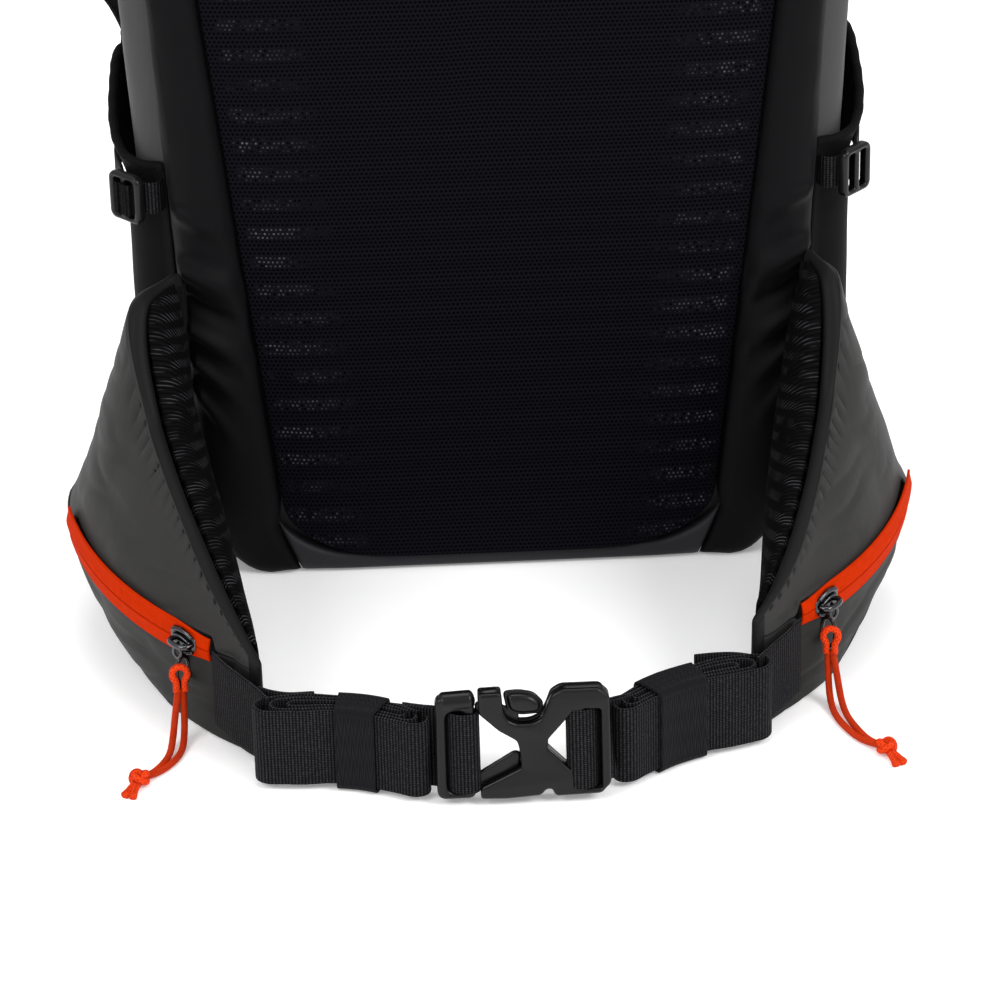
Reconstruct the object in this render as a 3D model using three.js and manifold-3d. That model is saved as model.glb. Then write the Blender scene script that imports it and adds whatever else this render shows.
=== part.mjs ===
// Avalanche airbag backpack. Millimetres, +Z up, the back panel faces -Y and +X is the wearer's left.
// Coordinates are written from the bottom front edge of the back panel (x = 0, y = 0, z = 0);
// the whole pack is moved at the end so that the origin is under the middle of its box.
import * as THREE from "three";
import { mergeVertices } from "three/addons/utils/BufferGeometryUtils.js";
import Module from "manifold-3d";

const wasm = await Module();
wasm.setup();

// ---- Driving dimensions ----
const GAP = 0.4; // between pieces that touch
const HEIGHT = 575; // pack body
const DEPTH = 200;
const WALL = 4; // fabric with its foam and lining
const BODY_FRONT = 14; // front face of the body, behind the back pad
const WIDEST_AT = 75; // depth at which the body is widest
const SIDE_BULGE = 12; // side panels beyond the border wings
const BOTTOM_ROUND = 38;
const TOP_ROUND = 90;

const BACK_PAD_BOTTOM = 9;
const BACK_PAD_TOP = 478;
const BACK_PAD_ROUND = 30;
const MESH_THICK = 2.2;
const BORDER_FRONT = 3;

const FRONT_OPENING = { half: 104, bottom: 64, top: 424, from: 120 };
const MAIN_ZIP_WIDTH = 9;
const TOP_OPENING = { half: 96, near: 48, far: 142 };

const POCKET = { near: 24, far: 160, bottom: 18, hem: 222, rise: 52, bulge: 11, thick: 2 };
const COMPRESSION = { height: 200, width: 16, thick: 1.8, far: 150 };

const FIN_THICK = 12;
const FIN_RIM = 158; // rim height at the root
const FIN_RIM_SLOPE = 0.65;
const ZIP_CENTRE = [16, -3];
const ZIP_HEIGHT = 60; // height of the zip's plane at y = 0
const ZIP_SLOPE = 0.08; // the plane rises towards the pack
const ZIP_ARC = [10, 50.5]; // degrees round the centre
const ZIP_HALF = 7;
const ZIP_THICK = 4;

const WEBBING_WIDTH = 38;
const WEBBING_FLOOR = 3;
const BUCKLE = { length: 77.5, height: 50, thick: 12, left: -39, front: -219, lean: 10 };

// The wearer's right hip wing is on the left (-X). The two wings were laid down slightly differently.
const WINGS = [
  {
    name: "left",
    sign: -1,
    plan: [[147, -3], [165, -32], [161, -60], [140, -120], [127, -148], [115, -170]],
    zipRadius: 192,
    sliderAngle: 46,
    stack: [[43, -211], [59, -198], [71, -189], [98, -188], [115, -189]],
    tail: [[92, -179.5], [104, -179.5], [112, -176.5], [117, -173]],
    cord: [[153, -146, 26], [154, -149, 14], [155, -153, 4.5], [156, -160, 1.8], [159, -170, 1.8],
      [165, -179, 1.8], [172, -186, 3.4]],
  },
  {
    name: "right",
    sign: 1,
    plan: [[146, -3], [153, -32], [150, -60], [132, -118], [120, -142], [106, -160]],
    zipRadius: 180,
    sliderAngle: 45.5,
    stack: [[42, -207], [53, -188], [64, -175], [87, -169], [110, -168]],
    tail: [[80, -161], [90, -160], [99, -160.5], [106, -163]],
    cord: [[145, -136, 26], [146, -139, 14], [147, -143, 4.5], [148, -151, 1.8], [151, -164, 1.8],
      [157, -177, 1.8], [165, -186, 3.4]],
  },
];

// ---- Helpers ----
const at = (x, y, z) => new THREE.Vector3(x, y, z);
const mix = THREE.MathUtils.lerp;
const radians = THREE.MathUtils.degToRad;

/** How far a rounded corner of this radius cuts in, at this distance from the end. */
function cornerInset(distance, radius) {
  if (distance >= radius) return 0;
  return radius - Math.sqrt(Math.max(0, radius ** 2 - (radius - distance) ** 2));
}

/** A closed geometry as a manifold solid, turned to face out. */
function solidOf(geometry) {
  const bare = new THREE.BufferGeometry();
  bare.setAttribute("position", geometry.getAttribute("position"));
  bare.setIndex(geometry.index);
  const merged = mergeVertices(bare, 1e-3);
  const triVerts = new Uint32Array(merged.index.array);
  const vertProperties = merged.getAttribute("position").array;
  const solid = new wasm.Manifold(new wasm.Mesh({ numProp: 3, vertProperties, triVerts }));
  if (solid.volume() > 0) return solid;
  triVerts.reverse();
  return new wasm.Manifold(new wasm.Mesh({ numProp: 3, vertProperties, triVerts }));
}

function geometryOf(solid) {
  const mesh = solid.getMesh();
  return new THREE.BufferGeometry()
    .setAttribute("position", new THREE.BufferAttribute(mesh.vertProperties, 3))
    .setIndex(new THREE.BufferAttribute(mesh.triVerts, 1));
}

/** Moves every vertex of a geometry to place(its own position). */
function moved(geometry, place) {
  const spots = geometry.getAttribute("position");
  for (let i = 0; i < spots.count; i++) {
    const p = place(spots.getX(i), spots.getY(i), spots.getZ(i));
    spots.setXYZ(i, p.x, p.y, p.z);
  }
  return geometry;
}

/** A block bent to a formula: place(u, v, w) with each of the three from 0 to 1. */
function bentBlock(steps, place) {
  const block = new THREE.BoxGeometry(1, 1, 1, ...steps);
  return solidOf(moved(block, (x, y, z) => place(x + 0.5, y + 0.5, z + 0.5)));
}

function block(low, high) {
  const size = high.map((value, k) => value - low[k]);
  const middle = high.map((value, k) => (value + low[k]) / 2);
  return solidOf(new THREE.BoxGeometry(...size).translate(...middle));
}

/** A flat outline of the X-Z plane given a thickness along Y, centred on y. */
function plate(shape, y, thick, bevel = 0) {
  const geometry = new THREE.ExtrudeGeometry(shape, {
    depth: thick - 2 * bevel,
    bevelEnabled: bevel > 0,
    bevelSize: bevel,
    bevelOffset: -bevel,
    bevelThickness: bevel,
    bevelSegments: 1,
    curveSegments: 4,
  });
  return solidOf(geometry.rotateX(Math.PI / 2).translate(0, y + thick / 2 - bevel, 0));
}

function roundedRectangle(x0, z0, x1, z1, radius) {
  const shape = new THREE.Shape();
  shape.moveTo(x0 + radius, z0);
  shape.lineTo(x1 - radius, z0);
  shape.absarc(x1 - radius, z0 + radius, radius, -Math.PI / 2, 0);
  shape.lineTo(x1, z1 - radius);
  shape.absarc(x1 - radius, z1 - radius, radius, 0, Math.PI / 2);
  shape.lineTo(x0 + radius, z1);
  shape.absarc(x0 + radius, z1 - radius, radius, Math.PI / 2, Math.PI);
  shape.lineTo(x0, z0 + radius);
  shape.absarc(x0 + radius, z0 + radius, radius, Math.PI, Math.PI * 1.5);
  return shape;
}

function ring(sides, radius) {
  const shape = new THREE.Shape();
  shape.absarc(0, 0, radius, 0, Math.PI * 2);
  return new THREE.Shape(shape.getSpacedPoints(sides).slice(0, sides));
}

/** A round tube through points, with a chosen number of steps and sides. */
function tube(points, radius, steps, sides = 8) {
  const extrudePath = new THREE.CatmullRomCurve3(points.map((p) => at(...p)));
  return solidOf(new THREE.ExtrudeGeometry(ring(sides, radius), { steps, extrudePath }));
}

/** A turned piece standing on z, from [radius, height] pairs that start and end on the axis. */
function turned(pairs, x, y, z, sides = 20) {
  const profile = pairs.map(([radius, height]) => new THREE.Vector2(radius, height));
  return solidOf(new THREE.LatheGeometry(profile, sides).rotateX(Math.PI / 2).translate(x, y, z));
}

const curve = (plan) => new THREE.CatmullRomCurve3(plan.map(([x, y]) => at(x, y, 0)));

/** A point beside a plan curve: share along it, distance out from it (away from the wearer). */
function beside(path, share, out) {
  const spot = path.getPointAt(share);
  const along = path.getTangentAt(share);
  return new THREE.Vector2(spot.x - along.y * out, spot.y + along.x * out);
}

const group = new THREE.Group();

function add(name, solid, color, roughness = 0.8, metalness = 0, parent = group) {
  const material = new THREE.MeshStandardMaterial({ color, roughness, metalness });
  const mesh = new THREE.Mesh(geometryOf(solid), material);
  mesh.name = name;
  parent.add(mesh);
  return mesh;
}

// ---- Pack body ----
function frameHalfWidth(z) {
  const side = Math.min(140.6 + 0.0518 * z, 156 - 0.08 * (z - 300));
  return side - cornerInset(z, BOTTOM_ROUND) - cornerInset(HEIGHT - z, TOP_ROUND);
}

const borderWidth = (z) => Math.max(23.5, 40 - 0.055 * z);
const bodyRear = (z) => DEPTH - 38 * ((z - 260) / 300) ** 2
  - cornerInset(z, BOTTOM_ROUND) - cornerInset(HEIGHT - z, TOP_ROUND * 0.7);

/** The body's skin, a superellipse at each height, squarer in front than behind. */
function bodyPoint(angle, reach, z, out) {
  const [c, s] = [Math.cos(angle), Math.sin(angle)].map((value) => Math.round(value * 1e6) / 1e6);
  const power = s < 0 ? 1 / 4 : 1 / 2;
  const depth = s < 0 ? WIDEST_AT - BODY_FRONT + out : bodyRear(z) - WIDEST_AT + out;
  const half = frameHalfWidth(z) + SIDE_BULGE + out;
  const x = half * Math.sign(c) * Math.abs(c) ** power;
  const y = depth * Math.sign(s) * Math.abs(s) ** power;
  return at(x * reach, WIDEST_AT + y * reach, z);
}

/** The body grown by a distance (or shrunk, if negative). */
function body(out, sides = 40, levels = 12) {
  const round = new THREE.CylinderGeometry(1, 1, 1, sides, levels).rotateX(Math.PI / 2);
  return solidOf(moved(round, (x, y, t) => {
    const share = 0.5 - 0.5 * Math.cos(Math.PI * (t + 0.5));
    const inside = Math.min(HEIGHT, Math.max(0, HEIGHT * share));
    const p = bodyPoint(Math.atan2(y, x), Math.min(1, Math.hypot(x, y)), inside, out);
    return at(p.x, p.y, mix(-out, HEIGHT + out, share));
  }));
}

const bodySolid = body(0);
const bodyShell = bodySolid.subtract(body(-WALL, 32, 10));
const bodyClear = body(GAP);

/** x of the side panel at a depth and a height. */
function sideX(y, z) {
  const power = y < WIDEST_AT ? 8 : 4;
  const depth = y < WIDEST_AT ? WIDEST_AT - BODY_FRONT : bodyRear(z) - WIDEST_AT;
  const share = Math.min(0.999, Math.abs(y - WIDEST_AT) / depth);
  return (frameHalfWidth(z) + SIDE_BULGE) * (1 - share ** power) ** (1 / power);
}

const frontWay = (grow) => block(
  [-FRONT_OPENING.half - grow, FRONT_OPENING.from, FRONT_OPENING.bottom - grow],
  [FRONT_OPENING.half + grow, DEPTH + 30, FRONT_OPENING.top + grow],
);
const topWay = (grow) => block(
  [-TOP_OPENING.half - grow, TOP_OPENING.near - grow, HEIGHT - 40],
  [TOP_OPENING.half + grow, TOP_OPENING.far + grow, HEIGHT + 30],
);

add("bag_shell", bodyShell.subtract(frontWay(0)).subtract(topWay(0)), "#4a4a4a", 0.85);
add("front_panel", bodyShell.intersect(frontWay(-1)), "#3a3a3b", 0.85);
add("airbag_cover", bodyShell.intersect(topWay(-1)), "#2d2e2e", 0.8);

// The U of the main zip is sewn to the shell round the front panel.
const zipSkin = body(1.8).subtract(bodyClear);
const zipRound = frontWay(MAIN_ZIP_WIDTH).subtract(frontWay(0.5));
const belowPanel = block([-200, 100, 0], [200, 260, FRONT_OPENING.bottom + 12]);
add("main_zip", zipSkin.intersect(zipRound).subtract(belowPanel), "#e03514", 0.6);

const mainZipAt = FRONT_OPENING.top + MAIN_ZIP_WIDTH / 2;
const mainSliderY = bodyRear(mainZipAt) + 2.6;
add(
  "main_zip_slider",
  block([-66, mainSliderY, mainZipAt - 4], [-50, mainSliderY + 5, mainZipAt + 4])
    .add(block([-54, mainSliderY + 1.5, mainZipAt - 3], [-24, mainSliderY + 4, mainZipAt + 3])),
  "#4a4a4e", 0.35, 0.9,
);

// ---- Back panel ----
function backPad(front, back, grow) {
  return bentBlock([8, 14, 1], (u, v, w) => {
    const z = mix(BACK_PAD_BOTTOM - grow, BACK_PAD_TOP + grow, v);
    const fromEnd = Math.min(z - BACK_PAD_BOTTOM + grow, BACK_PAD_TOP + grow - z);
    const edge = frameHalfWidth(z) - borderWidth(z) - cornerInset(fromEnd, BACK_PAD_ROUND) + grow;
    const across = 2 * u - 1;
    return at(across * edge, mix(front, back, w) + 3 * across ** 6, z);
  });
}

add("back_mesh", backPad(0, MESH_THICK, 0), "#101016", 0.9);
add("back_foam", backPad(MESH_THICK + 2 * GAP, BODY_FRONT - 3.6, -1), "#1a1a1c", 0.95);

const padRoom = backPad(-20, 60, GAP);
const SEAM = { foot: 97, slope: 0.41, top: 28 };
const seamHalf = (z) => SEAM.foot + SEAM.slope * Math.min(z, SEAM.top);

/** The strip under the back pad, between the two slanted seams, grown by a distance. */
function seamedIn(grow) {
  return bentBlock([10, 1, 1], (u, v, w) => {
    const z = mix(-2 * grow, SEAM.top + grow, v);
    return at((2 * u - 1) * (seamHalf(z) + grow), mix(BORDER_FRONT + 1 - 10 * grow, 40, w), z);
  });
}

const bottomBand = () => seamedIn(0).subtract(padRoom).subtract(bodyClear);

function borderWing() {
  const wing = bentBlock([3, 16, 1], (u, v, w) => {
    const z = mix(0, HEIGHT - 50, v);
    const pad = frameHalfWidth(z) - borderWidth(z) - 18;
    const inner = z < SEAM.top ? seamHalf(z) : Math.min(pad, seamHalf(z));
    const outer = frameHalfWidth(z);
    return at(mix(inner, outer, u), mix(BORDER_FRONT + 5 * u ** 4, 40, w), z);
  });
  return wing.subtract(padRoom).subtract(bodyClear).subtract(seamedIn(GAP));
}

add("bottom_band", bottomBand(), "#2c2b2d", 0.7);

// ---- Inside the body ----
const frameSheet = roundedRectangle(-92, 34, 92, 500, 24);
add("frame_sheet", plate(frameSheet, BODY_FRONT + WALL + 1.8, 1.6), "#d8d8d4", 0.6);

const stayOutline = roundedRectangle(-78, 46, 78, 490, 40);
stayOutline.holes.push(roundedRectangle(-68, 56, 68, 480, 32));
add("frame_stay", plate(stayOutline, BODY_FRONT + WALL + 5, 3), "#b9bcc0", 0.35, 0.9);

const CARTRIDGE = { x: -112, y: 62, z: 96, radius: 26, length: 222 };
const neckZ = CARTRIDGE.z + CARTRIDGE.length;
add(
  "gas_cartridge",
  turned(
    [[0, 0], [16, 0], [24, 6], [26, 14], [26, 180], [22, 196], [13, 206], [10, 210], [10, 222], [0, 222]],
    CARTRIDGE.x, CARTRIDGE.y, CARTRIDGE.z,
  ),
  "#b4281c", 0.35, 0.6,
);
add(
  "trigger_head",
  turned(
    [[0, 0], [16, 0], [16, 22], [12, 26], [12, 44], [0, 44]],
    CARTRIDGE.x, CARTRIDGE.y, neckZ + GAP,
  ).add(block([CARTRIDGE.x, 54, neckZ + 8], [CARTRIDGE.x + 34, 70, neckZ + 20])),
  "#8b8d90", 0.35, 0.8,
);
add(
  "inflation_hose",
  tube([[-73.5, 62, neckZ + 14], [-62, 66, neckZ + 22], [-52, 80, neckZ + 60], [-50, 88, neckZ + 102]], 6, 10, 10),
  "#1c1c1c", 0.6,
);
add(
  "trigger_cable",
  tube([[-112, 44.5, 352], [-106, 34, 392], [-40, 33, 470], [70, 33, 505], [112, 30, 512]], 2.4, 24, 8),
  "#202020", 0.5,
);

const airbagOutline = roundedRectangle(-104, 424, 104, 528, 34);
add("airbag_folded", plate(airbagOutline, 92, 96, 16), "#d8452a", 0.75);

const HAUL = { half: 46, high: 26, width: 22, thick: 2.5 };
function haulLoop() {
  return bentBlock([16, 1, 1], (u, v, w) => {
    const lift = Math.sin(Math.PI * u) ** 0.7 * HAUL.high;
    const foot = HEIGHT + GAP + HAUL.thick * w;
    return at(mix(-HAUL.half, HAUL.half, u), mix(20, 20 + HAUL.width, v), foot + lift);
  });
}
add("haul_loop", haulLoop(), "#1e1e20", 0.75);

const YOKE = { half: 97, bottom: 484, top: 532, front: -7 };
const yokeOutline = roundedRectangle(-YOKE.half, YOKE.bottom, YOKE.half, YOKE.top, 14);
const yokeMiddle = (YOKE.front + BORDER_FRONT - GAP) / 2;
add("shoulder_yoke", plate(yokeOutline, yokeMiddle, BORDER_FRONT - GAP - YOKE.front, 2), "#232325", 0.8);

// ---- Both sides: pockets, straps ----
const pocketHem = (y) => POCKET.hem + POCKET.rise * ((y - POCKET.near) / (POCKET.far - POCKET.near));

/** How far the inside of the stretch pocket stands off the side panel. */
function pocketOff(y, z) {
  const across = Math.min(1, Math.max(0, (y - POCKET.near) / (POCKET.far - POCKET.near)));
  const up = Math.min(1, (z - POCKET.bottom) / (pocketHem(y) - POCKET.bottom));
  return 0.8 + POCKET.bulge * Math.sin(Math.PI * across ** 0.6) * Math.max(0, up) ** 2;
}

function sidePocket() {
  const sheet = bentBlock([12, 9, 1], (u, v, w) => {
    const y = mix(POCKET.near, POCKET.far, u);
    const z = mix(POCKET.bottom, pocketHem(y), v);
    return at(sideX(y, z) + pocketOff(y, z) + POCKET.thick * w, y, z);
  });
  return sheet.subtract(bodyClear);
}

const strapOff = (y) => pocketOff(y, COMPRESSION.height + COMPRESSION.width / 2) + POCKET.thick + 1;

// The ladder lock sits across the pack's front corner, turned to face half forward.
const LOCK = { x: 171, y: 14, length: 20, thick: 5, bar: 4, border: 3 };

/** Webbing from the border's seam, behind the lock and back along the side. */
function compressionStrap() {
  const middle = (y) => [sideX(y, COMPRESSION.height) + strapOff(y) + COMPRESSION.thick / 2, y];
  const path = curve([
    [154, 17], [156.5, 12], [161, 11], [167.3, 17.7], [174, 25], [176.5, 34], middle(50), middle(75), middle(100),
    middle(125), middle(COMPRESSION.far),
  ]);
  return bentBlock([24, 1, 1], (u, v, w) => {
    const p = beside(path, u, COMPRESSION.thick * (w - 0.5));
    return at(p.x, p.y, COMPRESSION.height + COMPRESSION.width * (v - 0.5));
  });
}

function ladderLock() {
  const { length, thick, bar, border } = LOCK;
  const high = COMPRESSION.width / 2 + 1 + border;
  const slot = (x) => block([x, -thick, -high + border], [x + bar, thick, high - border]);
  return block([-length / 2, -thick / 2, -high], [length / 2, thick / 2, high])
    .subtract(slot(-length / 2 + bar))
    .subtract(slot(length / 2 - 2 * bar))
    .rotate([0, 0, 45])
    .translate([LOCK.x, LOCK.y, COMPRESSION.height]);
}

// ---- Shoulder straps, swung back along the pack's sides ----
const STRAP = { half: 30, endHalf: 19, thick: 12 };
const strapPath = new THREE.CatmullRomCurve3([
  at(101, -10, 512), at(128, -9, 522), at(154, 14, 520), at(164, 60, 492),
  at(171, 112, 430), at(175, 134, 360), at(179, 140, 296),
]);

/** A point on the padded strap: share along it, distance across and out of its middle surface. */
function onStrap(share, across, out) {
  const spot = strapPath.getPointAt(share);
  const along = strapPath.getTangentAt(share);
  const turn = THREE.MathUtils.smoothstep(share, 0.04, 0.3);
  const face = at(turn, turn - 1, 0).normalize();
  const wide = face.clone().cross(along).normalize();
  const up = along.clone().cross(wide).normalize();
  return spot.addScaledVector(wide, across).addScaledVector(up, out);
}

const strapBlock = (steps, along, across, out) => bentBlock(steps, (u, v, w) =>
  onStrap(mix(...along, u), mix(...across, v), mix(...out, w)));

function shoulderStrap() {
  return bentBlock([18, 2, 1], (u, v, w) => {
    const half = mix(STRAP.half, STRAP.endHalf, u ** 3);
    const side = 2 * v - 1;
    return onStrap(u, side * half, (w - 0.5) * STRAP.thick * (1 - 0.4 * side ** 4));
  });
}

function strapWebbing() {
  const path = new THREE.CatmullRomCurve3([
    at(184, 138, 290), at(186, 133, 262), at(182, 127, 232), at(177, 122, 203), at(171.5, 112, 162), at(166.5, 101, 122),
  ]);
  // folded narrow at its foot, where it turns about its anchor
  return bentBlock([14, 1, 1], (u, v, w) => {
    const spot = path.getPointAt(u);
    const across = mix(1, 0.3, THREE.MathUtils.smoothstep(u, 0.8, 1)) * (v - 0.5);
    return at(spot.x + 2 * (w - 0.5), spot.y + 20 * across, spot.z + 6 * across);
  });
}

function strapLadder() {
  const frame = block([188.6, 122, 262], [194, 150, 286]);
  const slot = (z) => block([180, 126, z], [200, 146, z + 3.8]);
  return frame.subtract(slot(266)).subtract(slot(277.5));
}

const sternumStrap = () => strapBlock([4, 1, 1], [0.56, 0.82], [-28, -11], [7, 9])
  .add(strapBlock([1, 1, 1], [0.81, 0.88], [-30, -9], [6.8, 13]));

// The trigger handle slides down out of a straight sleeve on the wearer's left strap.
const triggerFrame = new THREE.Group();
triggerFrame.position.copy(onStrap(0.74, 15, 9.5));
const triggerWay = strapPath.getTangentAt(0.78);
triggerFrame.quaternion.setFromUnitVectors(at(0, 0, -1), triggerWay);
const triggerSleeve = block([0, -12, -26], [11, 12, 26])
  .subtract(block([3, -8.5, -30], [8, 8.5, 22]));
const triggerHandle = block([3.9, -7.4, -34], [7.1, 7.4, 12])
  .add(block([0, -17, -44], [11, 17, -30]));

// ---- Hip wings ----
const finBottom = (y) => GAP + 0.2 * Math.max(0, y + 110);
const rimHeight = (y) => FIN_RIM + FIN_RIM_SLOPE * y;

function finHalf(u) {
  const swell = THREE.MathUtils.smoothstep(u, 0.04, 0.25) - THREE.MathUtils.smoothstep(u, 0.8, 1);
  return mix(3, FIN_THICK / 2, swell);
}

function hipFin(path) {
  return bentBlock([14, 4, 1], (u, v, w) => {
    const p = beside(path, u, (2 * w - 1) * finHalf(u));
    return at(p.x, p.y, mix(finBottom(p.y), rimHeight(p.y), v));
  });
}

/** The fin grown by the gap, to cut what is sewn to it. */
function hipFinRoom(path) {
  return bentBlock([14, 1, 1], (u, v, w) => {
    const p = beside(path, u, (2 * w - 1) * (finHalf(u) + GAP));
    return at(p.x, p.y, mix(-5, 200, v));
  });
}

function hipPad(path) {
  return bentBlock([12, 6, 1], (u, v, w) => {
    const share = mix(0.05, 0.95, u);
    const swell = 2 + 11 * Math.abs(Math.sin(Math.PI * u) * Math.sin(Math.PI * v)) ** 0.6;
    const p = beside(path, share, -finHalf(share) - GAP - swell * w);
    const bottom = finBottom(p.y) + 6;
    return at(p.x, p.y, mix(bottom, rimHeight(p.y) - 4, v));
  });
}

/** Distance along the wing's outward normal to the cylinder that the zip lies on. */
function reachToZip(path, share, radius) {
  const start = beside(path, share, 0);
  const way = beside(path, share, 1).sub(start);
  const from = start.sub(new THREE.Vector2(...ZIP_CENTRE));
  const middle = from.dot(way);
  return Math.sqrt(middle ** 2 + radius ** 2 - from.lengthSq()) - middle;
}

const zipLevel = (y) => ZIP_HEIGHT + ZIP_SLOPE * y;

/** How full the pocket is: rounded at both ends, full at the zip, flat at the rim and part full at its foot. */
function pocketSwell(u, height, foot, zip, rim) {
  const near = Math.min(1, u / 0.13);
  const far = Math.min(1, (1 - u) / 0.06);
  const ends = Math.sqrt((1 - (1 - near) ** 2) * (1 - (1 - far) ** 2));
  const above = Math.max(0, (height - zip) / (rim - zip));
  const below = Math.max(0, (zip - height) / (zip - foot));
  return ends * (1 - above ** 1.4 - 0.38 * below ** 2);
}

function pocketBulk(wing, path) {
  return bentBlock([20, 10, 1], (u, v, w) => {
    const along = 0.5 - 0.5 * Math.cos(Math.PI * u);
    const share = mix(0.07, 0.97, along);
    const inner = finHalf(share) + GAP;
    const reach = Math.max(2, reachToZip(path, share, wing.zipRadius - 1) - inner);
    const root = beside(path, share, 0);
    const foot = finBottom(root.y) + 0.4;
    const rim = rimHeight(root.y) - 7;
    const zip = Math.min(zipLevel(root.y), rim - 6);
    const height = v < 0.4 ? mix(foot, zip, v / 0.4) : mix(zip, rim, (v - 0.4) / 0.6);
    const out = mix(1.6, reach, Math.max(0, pocketSwell(along, height, foot, zip, rim)));
    const p = beside(path, share, inner + w * out);
    return at(p.x, p.y, height);
  });
}

/** A block in the tilted frame of the zip: angle round its centre, radius, height off its plane. */
function onZip(steps, angles, radii, heights) {
  const tilt = new THREE.Matrix4().makeRotationX(Math.atan(ZIP_SLOPE));
  return bentBlock(steps, (u, v, w) => {
    const angle = radians(mix(...angles, u));
    const radius = mix(...radii, v);
    const spot = at(radius * Math.cos(angle), -radius * Math.sin(angle), mix(...heights, w));
    const [x, y] = ZIP_CENTRE;
    return spot.applyMatrix4(tilt).add(at(x, y, ZIP_HEIGHT + ZIP_SLOPE * y));
  });
}

const zipBand = (radius) => onZip([12, 1, 1], ZIP_ARC, [radius - ZIP_THICK, radius], [-ZIP_HALF, ZIP_HALF]);
const sliceAt = (low, high) => onZip([8, 1, 1], [-60, 110], [2, 400], [low, high]);

function beltWebbing(wing) {
  const stack = curve(wing.stack);
  const folded = bentBlock([12, 1, 1], (u, v, w) => {
    const thick = mix(4, 15, THREE.MathUtils.smoothstep(u, 0.05, 0.35)) * (1 - 0.5 * u ** 12);
    const p = beside(stack, u, (w - 0.5) * thick);
    return at(p.x, p.y, WEBBING_FLOOR + WEBBING_WIDTH * v);
  });
  const tail = curve(wing.tail);
  const rear = bentBlock([6, 1, 1], (u, v, w) => {
    const p = beside(tail, u, (w - 0.5) * 2.4);
    return at(p.x, p.y, WEBBING_FLOOR + WEBBING_WIDTH * v);
  });
  return folded.add(rear);
}

function beltKeeper(wing, webbing) {
  const stack = curve(wing.stack);
  const slab = (shares, half, low, high) => bentBlock([6, 1, 1], (u, v, w) => {
    const p = beside(stack, mix(...shares, u), (2 * w - 1) * half);
    return at(p.x, p.y, mix(low, high, v));
  });
  const top = WEBBING_FLOOR + WEBBING_WIDTH;
  const room = slab([0.22, 0.63], 8.2, WEBBING_FLOOR - GAP, top + GAP);
  return slab([0.28, 0.57], 10, GAP, top + 2).subtract(room).subtract(webbing);
}

/** A wire ring drawn out into an oval, hanging from its top at z = 0. */
function wireOval(radius, length, wire) {
  const torus = new THREE.TorusGeometry(radius, wire, 6, 16).rotateX(Math.PI / 2);
  const draw = (z) => Math.sign(Math.round(z * 1000)) * (length / 2 - radius);
  return moved(torus, (x, y, z) => at(x, y, z + draw(z) - length / 2));
}

const CORD_RADIUS = 1.6;

/** Two strands side by side from the hitch on the wire to a knot on the floor. */
function pullCord(route) {
  const [hitch, knot] = [route[0], route.at(-1)];
  const strand = (shift) => tube(
    route.map(([x, y, z], i) => [x + shift * (i % 6 === 0 ? 0.4 : 1), y - shift * 0.4, z]),
    CORD_RADIUS, 16,
  );
  const lump = (spot, x, y, z) => solidOf(new THREE.SphereGeometry(1, 8, 6).scale(x, y, z).translate(...spot));
  const loose = tube([knot, [knot[0] + 4, knot[1] - 8, 2.2], [knot[0] + 5, knot[1] - 15, 1.8]], CORD_RADIUS, 5);
  return strand(-2).add(strand(2)).add(loose).add(lump(knot, 5, 5.5, 3.3)).add(lump(hitch, 3.6, 3, 2.4));
}

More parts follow.
